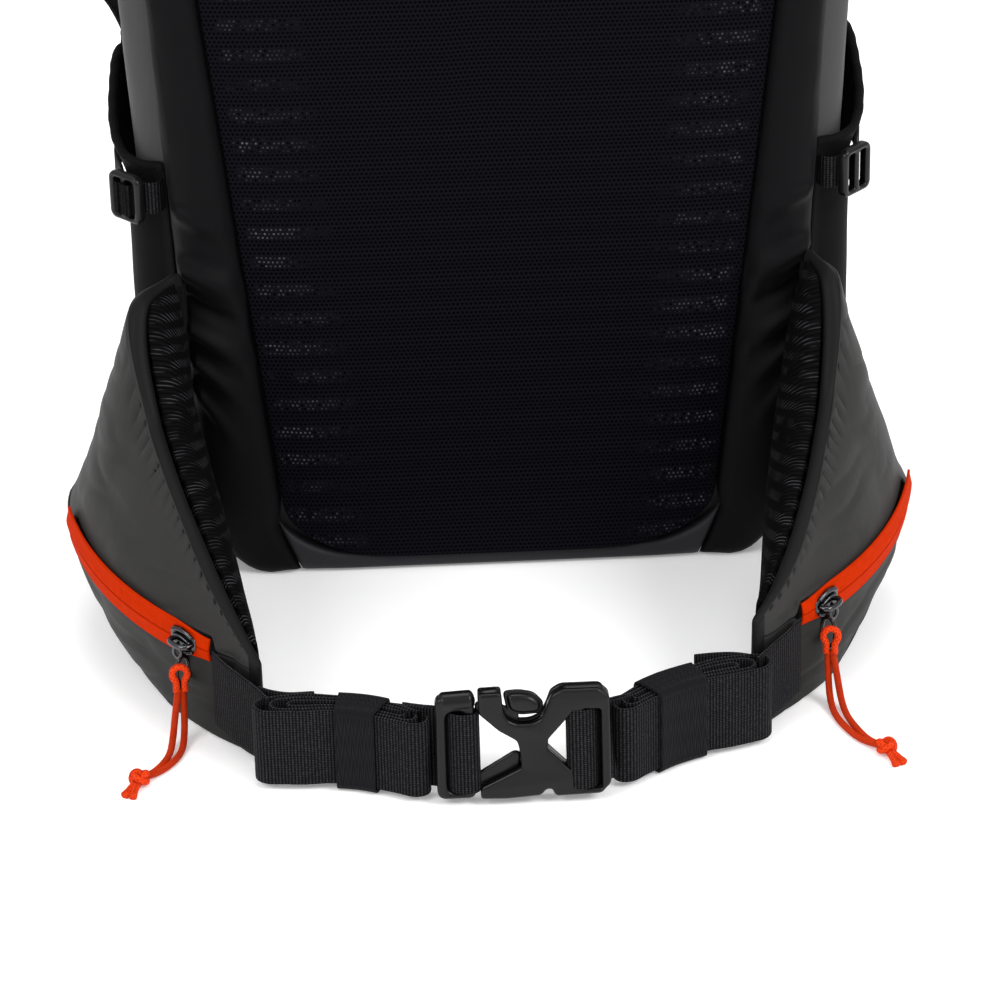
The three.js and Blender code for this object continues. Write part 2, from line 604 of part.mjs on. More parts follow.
for (const wing of WINGS) {
  const half = new THREE.Group();
  half.scale.x = wing.sign;
  group.add(half);
  const put = (name, solid, color, roughness = 0.8, metalness = 0) =>
    add(`${name}_${wing.name}`, solid, color, roughness, metalness, half);

  put("border_wing", borderWing(), "#1f1f21", 0.6);
  put("side_pocket", sidePocket(), "#262628", 0.85);
  put("compression_strap", compressionStrap(), "#1e1e20", 0.75);
  put("ladder_lock", ladderLock(), "#2b2b2c", 0.45);
  put("shoulder_strap", shoulderStrap(), "#232325", 0.8);
  put("strap_webbing", strapWebbing(), "#1e1e20", 0.75);
  put("strap_ladder", strapLadder(), "#2b2b2c", 0.45);
  put("sternum_strap", sternumStrap(), "#1e1e20", 0.7);

  const path = curve(wing.plan);
  const finRoom = hipFinRoom(path);
  put("hip_fin", hipFin(path), "#1f1f21", 0.7);
  put("hip_pad", hipPad(path).subtract(finRoom), "#101014", 0.9);
  const bulk = pocketBulk(wing, path).subtract(finRoom);
  const R = wing.zipRadius;
  put("hip_pocket_upper", bulk.intersect(sliceAt(ZIP_HALF + GAP, 200)), "#3a3a3a", 0.8);
  put("hip_pocket_lower", bulk.intersect(sliceAt(-200, -ZIP_HALF - GAP)), "#2d2e2d", 0.8);
  put("hip_zip", zipBand(R).subtract(finRoom), "#e2350f", 0.55);
  const webbing = beltWebbing(wing);
  put("belt_webbing", webbing.subtract(finRoom), "#1e1e20", 0.75);
  put("belt_keeper", beltKeeper(wing, webbing), "#1b1a1d", 0.85);

  const parked = wing.sliderAngle;
  const slider = onZip([3, 1, 1], [parked - 2.1, parked + 2.1], [R + 0.5, R + 4.5], [-5.5, 5.5]);
  const bridge = onZip([1, 1, 1], [parked - 1, parked + 1], [R + 4, R + 6.5], [-4.5, 2]);
  put("zip_slider", slider.add(bridge), "#4a4a4e", 0.35, 0.9);
  const angle = radians(parked);
  const hang = [R + 3.2, R + 3.2].map((r, k) => ZIP_CENTRE[k] + r * (k ? -Math.sin(angle) : Math.cos(angle)));
  const wire = wireOval(4, 15, 0.9).rotateZ(Math.PI / 2 - angle);
  const top = ZIP_HEIGHT + ZIP_SLOPE * hang[1] - 7.4;
  put("zip_puller", solidOf(wire.translate(hang[0], hang[1], top)), "#55555a", 0.3, 0.95);
  put("pull_cord", pullCord(wing.cord).subtract(
    solidOf(wireOval(4, 15, 1.3).rotateZ(Math.PI / 2 - angle).translate(hang[0], hang[1], top)),
  ), "#f23a1a", 0.7);
}

triggerFrame.add(
  add("trigger_sleeve", triggerSleeve, "#232325", 0.8),
  add("trigger_handle", triggerHandle, "#f04a1c", 0.5),
);
group.add(triggerFrame);

// ---- Belt buckle: the male half's prongs are in the female half ----
// Its outlines are drawn with x from the male half's outer bar and z from the buckle's lower edge.
const buckle = new THREE.Group();
buckle.position.set(BUCKLE.left, BUCKLE.front + BUCKLE.thick, GAP + 2);
buckle.rotation.x = -radians(BUCKLE.lean);
group.add(buckle);
const buckleMiddle = -BUCKLE.thick / 2;
const MALE_END = 17;
const ARM = { root: 17.6, tip: 47.6, outer: 49, inner: 36.5, thick: 6.4 };
const bucklePlate = (shape, thick = BUCKLE.thick, bevel = 0.8) => plate(shape, buckleMiddle, thick, bevel);
const buckleHole = (x0, z0, x1, z1) => block([x0, -40, z0], [x1, 40, z1]);

function polygon(points) {
  return new THREE.Shape(points.map(([x, z]) => new THREE.Vector2(x, z)));
}

function maleHalf() {
  const frame = bucklePlate(roundedRectangle(0, 3, MALE_END - 0.4, BUCKLE.height - 3, 3));
  return frame.subtract(buckleHole(4.5, 5.5, 10.5, BUCKLE.height - 5.5));
}

/** One prong: a root beside the male frame, a spring arm, and the shoulder that fingers squeeze. */
function prong() {
  const { root, tip, outer, inner, thick } = ARM;
  return bucklePlate(polygon([
    [root, inner + 0.5], [32, inner + 1], [44, inner], [tip, inner + 2.5], [tip - 0.6, outer - 2],
    [44, outer], [32, outer], [30.4, inner + 6], [root, inner + 5.5],
  ]), thick, 0.6);
}

function femaleHalf() {
  const { length, height } = BUCKLE;
  const shell = bucklePlate(roundedRectangle(MALE_END, 0, length, height, 4));
  const channel = (z0, z1) => block([MALE_END - 2, buckleMiddle - 4, z0], [50, buckleMiddle + 4, z1]);
  const mouth = (z0, z1) => block([MALE_END - 2, buckleMiddle - 4.8, z0], [MALE_END + 3, buckleMiddle + 4.8, z1]);
  const window = (z0, z1) => buckleHole(29, z0, 49, z1);
  const nearHole = bucklePlate(polygon([[21, 18], [34, height / 2], [21, height - 18]]), 40, 0);
  const farHole = bucklePlate(polygon([[61, 14], [61, height - 14], [54, height / 2]]), 40, 0);
  return shell
    .subtract(channel(31, 45.5))
    .subtract(channel(height - 45.5, height - 31))
    .subtract(mouth(30, 48.4))
    .subtract(mouth(height - 48.4, height - 30))
    .subtract(window(43, height + 5))
    .subtract(window(-5, height - 43))
    .subtract(nearHole)
    .subtract(farHole)
    .subtract(buckleHole(66, 5.5, 72.5, height - 5.5));
}

const upperProng = prong();
add("buckle_male", maleHalf(), "#2e2d2e", 0.45, 0, buckle);
add("buckle_female", femaleHalf(), "#2e2d2e", 0.45, 0, buckle);
add("buckle_prong_upper", upperProng, "#2e2d2e", 0.45, 0, buckle);
const lower = add("buckle_prong_lower", upperProng, "#2e2d2e", 0.45, 0, buckle);
lower.scale.z = -1;
lower.position.z = BUCKLE.height;

// ---- Origin under the middle of the pack's box, cords left out ----
const solidPieces = [];
group.updateMatrixWorld(true);
group.traverse((piece) => {
  if (piece.isMesh && !piece.name.startsWith("pull_cord")) solidPieces.push(piece);
});
const box = new THREE.Box3();
for (const piece of solidPieces) box.expandByObject(piece, true);
const middle = box.getCenter(at(0, 0, 0));
group.position.set(-middle.x, -middle.y, -box.min.z);

export default group;
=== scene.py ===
"""The looks of the avalanche airbag backpack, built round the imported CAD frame.
Pieces are written in pack coordinates: millimetres from the bottom front edge of the back panel,
+Z up, the back panel facing -Y. at() turns them into the frame's metres."""

import math

import bmesh
import bpy
from mathutils import Matrix, Vector, noise


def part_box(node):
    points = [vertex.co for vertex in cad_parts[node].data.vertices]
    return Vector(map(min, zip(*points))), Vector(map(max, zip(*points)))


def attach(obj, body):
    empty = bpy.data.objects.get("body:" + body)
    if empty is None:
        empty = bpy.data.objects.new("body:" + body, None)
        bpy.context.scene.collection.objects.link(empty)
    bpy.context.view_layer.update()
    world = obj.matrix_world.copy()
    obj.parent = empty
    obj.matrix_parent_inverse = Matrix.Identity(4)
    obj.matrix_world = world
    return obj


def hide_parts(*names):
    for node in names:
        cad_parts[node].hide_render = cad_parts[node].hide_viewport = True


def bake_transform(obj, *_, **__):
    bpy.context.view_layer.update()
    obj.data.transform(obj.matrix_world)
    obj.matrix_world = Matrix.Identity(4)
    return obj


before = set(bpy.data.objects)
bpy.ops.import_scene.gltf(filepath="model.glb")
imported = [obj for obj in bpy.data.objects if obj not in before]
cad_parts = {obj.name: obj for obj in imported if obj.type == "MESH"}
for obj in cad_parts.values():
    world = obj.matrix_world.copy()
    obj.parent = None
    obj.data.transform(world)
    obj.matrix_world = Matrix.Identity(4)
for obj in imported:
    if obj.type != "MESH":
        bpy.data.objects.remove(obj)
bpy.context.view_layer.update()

MM = 0.001
SIDES = {"left": -1, "right": 1}  # as the camera sees them

back_low, back_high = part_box("back_mesh")
CENTRE_X = (back_low[0] + back_high[0]) / 2
BACK_Y = back_low[1]


def at(x, y, z):
    """A point in pack millimetres, in the frame's metres."""
    return Vector((CENTRE_X + x * MM, BACK_Y + y * MM, z * MM))


# ---- Camera: level with the lower back panel, looking down at the belt ----
CAMERA_AZIMUTH = math.radians(-2.2)
CAMERA_ELEVATION = math.radians(28)
CAMERA_ROLL = math.radians(-1.3)
CAMERA_AWAY = 2.2
CAMERA_RAISED = 0.034
CAMERA_LENS = 162.4


def make_camera():
    level = math.cos(CAMERA_ELEVATION)
    back = Vector((
        math.sin(CAMERA_AZIMUTH) * level,
        -math.cos(CAMERA_AZIMUTH) * level,
        math.sin(CAMERA_ELEVATION),
    ))
    right = Vector((math.cos(CAMERA_AZIMUTH), math.sin(CAMERA_AZIMUTH), 0))
    up = back.cross(right)
    turn = Matrix((right, up, back)).transposed() @ Matrix.Rotation(CAMERA_ROLL, 3, "Z")
    data = bpy.data.cameras.new("camera")
    data.lens = CAMERA_LENS
    data.clip_end = 50
    camera = bpy.data.objects.new("camera", data)
    spot = at(0, 0, 0) + back * CAMERA_AWAY + up * CAMERA_RAISED
    camera.matrix_world = Matrix.Translation(spot) @ turn.to_4x4()
    bpy.context.collection.objects.link(camera)
    bpy.context.scene.camera = camera


make_camera()


# ---- Small sums ----
def mix(a, b, share):
    return a + (b - a) * share


def clamp(value, low=0.0, high=1.0):
    return max(low, min(high, value))


def ease(value, low, high):
    """0 below low, 1 above high, and smooth between them."""
    t = clamp((value - low) / (high - low))
    return t * t * (3 - 2 * t)


def bump(value, middle, reach):
    """1 at the middle, falling smoothly to 0 at that reach from it."""
    return 1 - ease(abs(value - middle), 0, reach)


def rumple(point, size, seed=0.0):
    """Smooth noise from -1 to 1 with lumps of about that size in millimetres."""
    return noise.noise(Vector(point) / size + Vector((seed, seed * 0.7, -seed)))


def crease(point, size, seed=0.0):
    """Ridged noise from 0 to 1: narrow folds between broad hollows."""
    return 1 - min(1, abs(rumple(point, size, seed)) * 3.2)


class Path:
    """A smooth curve through points, followed by its share of length (a centripetal spline)."""

    STEPS = 240

    def __init__(self, points):
        points = [Vector(p) if len(p) == 3 else Vector((*p, 0)) for p in points]
        self.points = [points[0] * 2 - points[1], *points, points[-1] * 2 - points[-2]]
        self.count = len(points) - 1
        spots = [self.raw(i / self.STEPS) for i in range(self.STEPS + 1)]
        self.lengths = [0.0]
        for a, b in zip(spots, spots[1:]):
            self.lengths.append(self.lengths[-1] + (b - a).length)
        self.length = self.lengths[-1]

    def raw(self, t):
        piece = min(self.count - 1, int(t * self.count))
        w = t * self.count - piece
        p0, p1, p2, p3 = self.points[piece:piece + 4]
        d0, d1, d2 = (math.sqrt((b - a).length) or 1e-4 for a, b in ((p0, p1), (p1, p2), (p2, p3)))
        start = ((p1 - p0) / d0 - (p2 - p0) / (d0 + d1) + (p2 - p1) / d1) * d1
        end = ((p2 - p1) / d1 - (p3 - p1) / (d1 + d2) + (p3 - p2) / d2) * d1
        return (
            p1 * (2 * w**3 - 3 * w**2 + 1) + start * (w**3 - 2 * w**2 + w)
            + p2 * (3 * w**2 - 2 * w**3) + end * (w**3 - w**2)
        )

    def at(self, share):
        wanted = clamp(share) * self.length
        low, high = 0, self.STEPS
        while high - low > 1:
            middle = (low + high) // 2
            if self.lengths[middle] <= wanted:
                low = middle
            else:
                high = middle
        gap = self.lengths[high] - self.lengths[low]
        return self.raw((low + (wanted - self.lengths[low]) / gap) / self.STEPS)

    def way(self, share):
        low, high = max(0, share - 0.005), min(1, share + 0.005)
        return (self.at(high) - self.at(low)).normalized()


def beside(path, share, out):
    """A point beside a plan curve: distance out from it, away from the wearer."""
    spot, way = path.at(share), path.way(share)
    return Vector((spot.x - way.y * out, spot.y + way.x * out, 0))


# ---- Mesh building ----
def made(name, vertices, faces, uvs=None, smooth=True):
    """An object from vertices in pack millimetres, with one texture coordinate per vertex."""
    mesh = bpy.data.meshes.new(name)
    mesh.from_pydata([at(*v) for v in vertices], [], faces)
    mesh.update()
    for face in mesh.polygons:
        face.use_smooth = smooth
    if uvs:
        layer = mesh.uv_layers.new(name="UVMap")
        for loop in mesh.loops:
            layer.data[loop.index].uv = uvs[loop.vertex_index]
    thing = bpy.data.objects.new(name, mesh)
    bpy.context.collection.objects.link(thing)
    return thing


def faced_out(thing):
    """Turns a closed mesh's faces outward."""
    form = bmesh.new()
    form.from_mesh(thing.data)
    bmesh.ops.remove_doubles(form, verts=form.verts, dist=1e-6)
    bmesh.ops.recalc_face_normals(form, faces=form.faces)
    form.to_mesh(thing.data)
    form.free()
    return thing


def spread(count, length, radius):
    """Shares of a length, closer together in the rounded edge at each end."""
    near = [radius * (1 - math.cos(math.pi / 2 * i / 4)) / length for i in range(4)]
    inner = radius / length
    middle = [mix(inner, 1 - inner, i / count) for i in range(count + 1)]
    return near + middle + [1 - share for share in reversed(near)]


def spans(surface, steps=8):
    """A surface's length along u and its width along v, both through its middle."""
    length = sum((surface((i + 1) / steps, 0.5) - surface(i / steps, 0.5)).length for i in range(steps))
    width = sum((surface(0.5, (i + 1) / steps) - surface(0.5, i / steps)).length for i in range(steps))
    return length, width


def slab(name, middle, thick, cols, rows, edge=None, relief=None, uv=None):
    """A closed piece with rounded edges round a middle surface.
    thick is a number or a function of (u, v). relief lifts the face that u x v looks out of."""
    thickness = thick if callable(thick) else lambda u, v: thick
    length, width = spans(middle)
    radius = min(edge or thickness(0.5, 0.5) / 2, 0.3 * length, 0.3 * width)
    us, vs = spread(cols, length, radius), spread(rows, width, radius)

    def rounded(share, whole):
        inside = min(share, 1 - share) * whole
        return math.sqrt(max(0, 1 - (1 - min(1, inside / radius)) ** 2))

    tops, undersides, uvs = [], [], []
    for u in us:
        for v in vs:
            spot = middle(u, v)
            along = middle(min(1, u + 0.004), v) - middle(max(0, u - 0.004), v)
            across = middle(u, min(1, v + 0.004)) - middle(u, max(0, v - 0.004))
            out = along.cross(across).normalized()
            shape = rounded(u, length) * rounded(v, width)
            half = thickness(u, v) / 2 * shape
            lift = relief(u, v, spot) * shape if relief else 0
            tops.append(spot + out * (half + lift))
            undersides.append(spot - out * half)
            uvs.append(uv(spot) if uv else (u * length * MM, v * width * MM))
    n, m = len(us), len(vs)
    faces = []
    for i in range(n - 1):
        for j in range(m - 1):
            a, b, c, d = i * m + j, (i + 1) * m + j, (i + 1) * m + j + 1, i * m + j + 1
            faces.append((a, b, c, d))
            faces.append((n * m + d, n * m + c, n * m + b, n * m + a))
    return faced_out(made(name, tops + undersides, faces, uvs + uvs))


def sheet_of(name, cols, rows, place, closed=False):
    """One layer of quads: place(u, v), joined round on itself in u if closed."""
    wrap = cols if closed else cols + 1
    vertices = [place(i / cols, j / rows) for i in range(wrap) for j in range(rows + 1)]
    length, width = spans(place)
    uvs = [(i / cols * length * MM, j / rows * width * MM) for i in range(wrap) for j in range(rows + 1)]
    step = rows + 1
    faces = [
        (i * step + j, (i + 1) % wrap * step + j, (i + 1) % wrap * step + j + 1, i * step + j + 1)
        for i in range(cols) for j in range(rows)
    ]
    return made(name, vertices, faces, uvs)


def applied(thing, kind, **settings):
    """Adds a modifier and applies it."""
    modifier = thing.modifiers.new(kind, kind)
    for key, value in settings.items():
        setattr(modifier, key, value)
    bpy.context.view_layer.update()
    evaluated = thing.evaluated_get(bpy.context.evaluated_depsgraph_get())
    mesh = bpy.data.meshes.new_from_object(evaluated)
    thing.modifiers.clear()
    thing.data = mesh
    return thing


def cut(thing, low, high):
    """Cuts a box, given in pack millimetres, out of a closed piece."""
    corners = [(x, y, z) for x in (low[0], high[0]) for y in (low[1], high[1]) for z in (low[2], high[2])]
    faces = [(0, 1, 3, 2), (4, 6, 7, 5), (0, 4, 5, 1), (2, 3, 7, 6), (0, 2, 6, 4), (1, 5, 7, 3)]
    tool = faced_out(made("tool", corners, faces, smooth=False))
    applied(thing, "BOOLEAN", operation="DIFFERENCE", solver="EXACT", object=tool)
    bpy.data.objects.remove(tool)
    return thing


def tube(name, points, radius, steps=40, sides=12, ends=True):
    """A round mesh tube through points. radius may be a function of the share along it."""
    path = Path(points)
    thickness = radius if callable(radius) else lambda share: radius
    vertices, uvs = [], []
    side = None
    for i in range(steps + 1):
        share = i / steps
        way = path.way(share)
        start = side or (Vector((0, 0, 1)) if abs(way.z) < 0.9 else Vector((1, 0, 0)))
        side = (start - way * start.dot(way)).normalized()
        other = way.cross(side)
        for k in range(sides):
            angle = 2 * math.pi * k / sides
            away = side * math.cos(angle) + other * math.sin(angle)
            vertices.append(path.at(share) + away * thickness(share))
            uvs.append((share * path.length * MM, k / sides * 2 * math.pi * thickness(share) * MM))
    faces = [
        (i * sides + k, i * sides + (k + 1) % sides, (i + 1) * sides + (k + 1) % sides, (i + 1) * sides + k)
        for i in range(steps) for k in range(sides)
    ]
    if ends:
        faces.append(tuple(range(sides - 1, -1, -1)))
        faces.append(tuple(steps * sides + k for k in range(sides)))
    return faced_out(made(name, vertices, faces, uvs))


def joined(name, things):
    """Several pieces of one material as one object."""
    for other in bpy.context.selected_objects:
        other.select_set(False)
    for thing in things:
        thing.select_set(True)
    bpy.context.view_layer.objects.active = things[0]
    bpy.ops.object.join()
    whole = bpy.context.view_layer.objects.active
    whole.name = whole.data.name = name
    whole.select_set(False)
    return whole


def painted(thing, material):
    thing.data.materials.clear()
    thing.data.materials.append(material)


def finished(thing, body, material, slot, *nodes):
    """Gives a piece its material and CAD body, and hides the CAD nodes that it stands for. The slot is not
    used.
    """
    painted(thing, material)
    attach(thing, body)
    if nodes:
        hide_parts(*nodes)
    return thing


def hinge_cloth(thing, parent, child, start, end, material):
    """Paints a strip of fabric that lies across a joint, from the parent's side to the child's, and bakes its
    place into its mesh.
    """
    painted(thing, material)
    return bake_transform(thing, parent, child, at(*start), at(*end))


# ---- Materials ----
class Look:
    """A procedural material in the making: short calls that add nodes and return sockets."""

    def __init__(self, name, roughness=0.8, metallic=0.0, **shader_values):
        self.material = bpy.data.materials.new(name)
        self.material.use_nodes = True
        self.tree = self.material.node_tree
        self.shader = self.tree.nodes["Principled BSDF"]
        self.shader.inputs["Roughness"].default_value = roughness
        self.shader.inputs["Metallic"].default_value = metallic
        self.shader.inputs["Specular IOR Level"].default_value = 0.15
        for key, value in shader_values.items():
            self.shader.inputs[key.replace("_", " ")].default_value = value
        coordinates = self.tree.nodes.new("ShaderNodeTexCoord")
        self.uv = coordinates.outputs["UV"]
        self.place = coordinates.outputs["Object"]
        self.normal = None

    def feed(self, socket, value):
        if isinstance(value, bpy.types.NodeSocket):
            self.tree.links.new(value, socket)
        else:
            socket.default_value = value

    def node(self, kind, output=0, **inputs):
        made_node = self.tree.nodes.new("ShaderNode" + kind)
        for key, value in inputs.items():
            self.feed(made_node.inputs[key.replace("_", " ")], value)
        return made_node.outputs[output]

    def sum(self, operation, a, b=0.0, c=0.0):
        made_node = self.tree.nodes.new("ShaderNodeMath")
        made_node.operation = operation
        for socket, value in zip(made_node.inputs, (a, b, c)):
            self.feed(socket, value)
        return made_node.outputs[0]

    def noise(self, scale, detail=2.0, roughness=0.5):
        return self.node("TexNoise", Vector=self.place, Scale=scale, Detail=detail, Roughness=roughness)

    def split(self, vector):
        parts = self.tree.nodes.new("ShaderNodeSeparateXYZ")
        self.feed(parts.inputs[0], vector)
        return parts.outputs[0], parts.outputs[1], parts.outputs[2]

    def cell(self, value, pitch):
        """Distance from the middle of the cell the value is in, from -0.5 to 0.5."""
        return self.sum("SUBTRACT", self.sum("FRACT", self.sum("MULTIPLY_ADD", value, 1 / pitch, 0.0)), 0.5)

    def wave(self, value, pitch):
        """0 to 1 and back, once in every pitch."""
        turn = self.sum("MULTIPLY", value, 2 * math.pi / pitch)
        return self.sum("MULTIPLY_ADD", self.sum("SINE", turn), 0.5, 0.5)

    def ramp(self, value, low, high, dark=0.0, light=1.0):
        return self.node("MapRange", Value=value, From_Min=low, From_Max=high, To_Min=dark, To_Max=light)

    def tint(self, share, first, second):
        blend = self.tree.nodes.new("ShaderNodeMix")
        blend.data_type = "RGBA"
        self.feed(blend.inputs[0], share)
        self.feed(blend.inputs[6], first)
        self.feed(blend.inputs[7], second)
        return blend.outputs[2]

    def raised(self, height, depth, strength=1.0):
        """Bumps the surface by a height from 0 to 1, depth metres high."""
        inputs = {"Height": height, "Distance": depth, "Strength": strength}
        if self.normal:
            inputs["Normal"] = self.normal
        self.normal = self.node("Bump", **inputs)
        self.feed(self.shader.inputs["Normal"], self.normal)

    def colour(self, value):
        self.feed(self.shader.inputs["Base Color"], value)

    def rough(self, value):
        self.feed(self.shader.inputs["Roughness"], value)


def rgb(hex_colour):
    """A linear colour from its hexadecimal sRGB one."""
    parts = [int(hex_colour[i:i + 2], 16) / 255 for i in (1, 3, 5)]
    linear = [v / 12.92 if v <= 0.04045 else ((v + 0.055) / 1.055) ** 2.4 for v in parts]
    return (*linear, 1.0)


def cloth(name, dark, light, roughness=0.62, weave=0.0007, weave_depth=0.00006, crumple=0.0006, shine=0.15):
    """A woven fabric: fine plain weave, soft crumples and uneven dye."""
    look = Look(name, roughness, Sheen_Weight=0.02, Sheen_Roughness=0.4, Specular_IOR_Level=shine)
    x, y, z = look.split(look.place)
    warp = look.wave(x, weave)
    weft = look.wave(z, weave)
    depth = look.wave(look.sum("ADD", y, x), weave * 2)
    threads = look.sum("MULTIPLY", look.sum("MAXIMUM", warp, weft), look.sum("MULTIPLY_ADD", depth, 0.2, 0.8))
    patches = look.noise(14, 3)
    folds = look.noise(42, 4, roughness=0.55)
    share = look.sum("MULTIPLY_ADD", threads, 0.45, look.sum("MULTIPLY", patches, 0.55))
    look.colour(look.tint(share, rgb(dark), rgb(light)))
    look.rough(look.ramp(patches, 0.3, 0.7, roughness - 0.05, roughness + 0.07))
    look.raised(folds, crumple, 0.6)
    look.raised(threads, weave_depth, 0.5)
    return look.material


def ribbed_webbing(name, dark, light, pitch):
    """Woven webbing: ribs across its length, with finer threads along it."""
    look = Look(name, 0.7, Sheen_Weight=0.02, Sheen_Roughness=0.35, Specular_IOR_Level=0.05)
    length, width, _ = look.split(look.uv)
    ribs = look.wave(length, pitch)
    threads = look.wave(width, 0.0009)
    grain = look.noise(600, 1)
    high = look.sum("MULTIPLY_ADD", ribs, 0.55, look.sum("MULTIPLY", threads, 0.45))
    specks = look.ramp(look.noise(900, 1), 0.4, 0.7)
    share = look.sum("MULTIPLY", look.ramp(high, 0.35, 1.0), look.sum("MULTIPLY_ADD", specks, 0.45, 0.4))
    look.colour(look.tint(share, rgb(dark), rgb(light)))
    look.raised(look.sum("MULTIPLY_ADD", grain, 0.25, high), 0.00035, 0.8)
    return look.material


def herringbone(name, dark, light):
    """Elastic with a herringbone weave."""
    look = Look(name, 0.8, Sheen_Weight=0.03, Sheen_Roughness=0.4, Specular_IOR_Level=0.1)
    x, y, _ = look.split(look.uv)
    zig = look.sum("MULTIPLY", look.sum("ABSOLUTE", look.cell(y, 0.0034)), 0.0034)
    rows = look.wave(look.sum("ADD", x, zig), 0.0013)
    threads = look.wave(y, 0.0011)
    high = look.sum("MULTIPLY_ADD", rows, 0.7, look.sum("MULTIPLY", threads, 0.3))
    look.colour(look.tint(high, rgb(dark), rgb(light)))
    look.raised(high, 0.0003, 0.8)
    return look.material


def spacer_mesh(name, dark, light, pale):
    """Open knitted spacer mesh: a grid of small holes, with pale points painted in the holes as highlights
    where the rib crests catch the light, brightest towards the pad's sides.
    Texture coordinates are metres from the panel's middle line, and up."""
    look = Look(name, 0.85, Specular_IOR_Level=0.03)
    hole = 0.0021  # metres from one hole to the next
    x, y, _ = look.split(look.uv)
    odd = look.sum("MULTIPLY", look.sum("FLOOR", look.sum("MULTIPLY", y, 1 / hole)), 0.5)
    across = look.sum("SUBTRACT", look.sum("FRACT", look.sum("MULTIPLY_ADD", x, 1 / hole, odd)), 0.5)
    up = look.cell(y, hole)
    square = look.sum("ADD", look.sum("MULTIPLY", across, across), look.sum("MULTIPLY", up, up))
    away = look.sum("SQRT", square)
    yarn = look.ramp(away, 0.2, 0.42)
    # rib, sides, patch and chance place the painted highlight: rows along the rib crests, strongest towards
    # the pad's sides, in random clumps and single holes
    rib = look.ramp(look.wave(y, RIB_PITCH * MM), 0.45, 0.9)
    inward = look.sum("MULTIPLY_ADD", y, -PAD_FLARE, look.sum("ABSOLUTE", x))
    sides = look.sum("MULTIPLY", look.ramp(inward, 0.058, 0.094), look.ramp(inward, 0.1, 0.095))
    patch = look.ramp(look.noise(38, 2), 0.3, 0.6)
    ids = look.node("CombineXYZ", X=look.sum("FLOOR", look.sum("MULTIPLY_ADD", x, 1 / hole, odd)),
                    Y=look.sum("FLOOR", look.sum("MULTIPLY", y, 1 / hole)))
    chance = look.ramp(look.node("TexWhiteNoise", Vector=ids), 0.1, 0.9)
    lit = look.sum("MULTIPLY", look.sum("MULTIPLY", rib, patch), look.sum("MULTIPLY", sides, chance))
    base = look.tint(yarn, rgb(dark), rgb(light))
    highlight_dots = look.sum("MULTIPLY", lit, look.ramp(away, 0.34, 0.16))
    look.colour(look.tint(highlight_dots, base, rgb(pale)))
    look.raised(yarn, 0.0006, 0.9)
    return look.material


def dashed_mesh(name, dark, light, pale):
    """Ribbed spacer mesh whose ribs carry short slanted stitches."""
    look = Look(name, 0.85, Specular_IOR_Level=0.03)
    x, y, _ = look.split(look.uv)
    slant = look.sum("MULTIPLY_ADD", y, 0.35, x)
    dash = look.ramp(look.sum("ABSOLUTE", look.cell(slant, 0.0019)), 0.22, 0.08)
    row = look.ramp(look.wave(y, HIP_RIB * MM), 0.35, 0.75)
    patch = look.ramp(look.noise(90, 2), 0.38, 0.6)
    strand = look.ramp(look.sum("ABSOLUTE", look.cell(slant, 0.0023)), 0.1, 0.5)
    base = look.tint(strand, rgb(light), rgb(dark))
    look.colour(look.tint(look.sum("MULTIPLY", look.sum("MULTIPLY", dash, row), patch), base, rgb(pale)))
    look.raised(look.sum("MULTIPLY", dash, row), 0.0007, 0.9)
    return look.material


def zip_tape(name, dark, light):
    """Bright woven zip tape: fine ribs across it and a line of stitches along each edge."""
    look = Look(name, 0.7, Specular_IOR_Level=0.015)
    x, y, _ = look.split(look.uv)
    ribs = look.wave(x, 0.0011)
    grain = look.noise(260, 2)
    share = look.sum("MULTIPLY_ADD", ribs, 0.5, look.sum("MULTIPLY", grain, 0.5))
    look.colour(look.tint(share, rgb(dark), rgb(light)))
    look.raised(look.sum("ADD", ribs, look.wave(y, 0.0012)), 0.00012, 0.7)
    return look.material


def braid(name, dark, light, pitch=0.0022):
    """Braided cord or thread."""
    look = Look(name, 0.65, Specular_IOR_Level=0.1)
    x, y, _ = look.split(look.uv)
    one = look.wave(look.sum("ADD", x, y), pitch)
    two = look.wave(look.sum("SUBTRACT", x, y), pitch)
    strands = look.sum("MAXIMUM", one, two)
    grain = look.noise(900, 2)
    share = look.sum("MULTIPLY_ADD", strands, 0.7, look.sum("MULTIPLY", grain, 0.3))
    look.colour(look.tint(share, rgb(dark), rgb(light)))
    look.raised(strands, 0.0003, 0.8)
    return look.material


def moulded(name, dark, light, roughness):
    """Moulded plastic: fine spark-eroded grain, worn paler where it is rubbed."""
    look = Look(name, roughness, Specular_IOR_Level=0.25)
    rubbed = look.noise(28, 3)
    pointed = look.ramp(look.node("NewGeometry", "Pointiness"), 0.5, 0.62)
    share = look.sum("MULTIPLY_ADD", pointed, 0.7, look.sum("MULTIPLY", rubbed, 0.3))
    look.colour(look.tint(share, rgb(dark), rgb(light)))
    look.rough(look.ramp(rubbed, 0.3, 0.7, roughness - 0.06, roughness + 0.1))
    look.raised(look.noise(1400, 2), 0.00005, 0.4)
    return look.material


def metal(name, dark, light, roughness):
    """Bare or plated metal with a fine grain."""
    look = Look(name, roughness, 1.0)
    stained = look.noise(60, 3)
    look.colour(look.tint(stained, rgb(dark), rgb(light)))
    look.rough(look.ramp(stained, 0.3, 0.7, roughness - 0.08, roughness + 0.12))
    look.raised(look.noise(1800, 1), 0.00002, 0.4)
    return look.material


def foam_look(name, dark, light):
    look = Look(name, 0.95)
    cells = look.node("TexVoronoi", "Distance", Vector=look.place, Scale=900)
    look.colour(look.tint(look.noise(300, 2), rgb(dark), rgb(light)))
    look.raised(cells, 0.0004, 0.7)
    return look.material


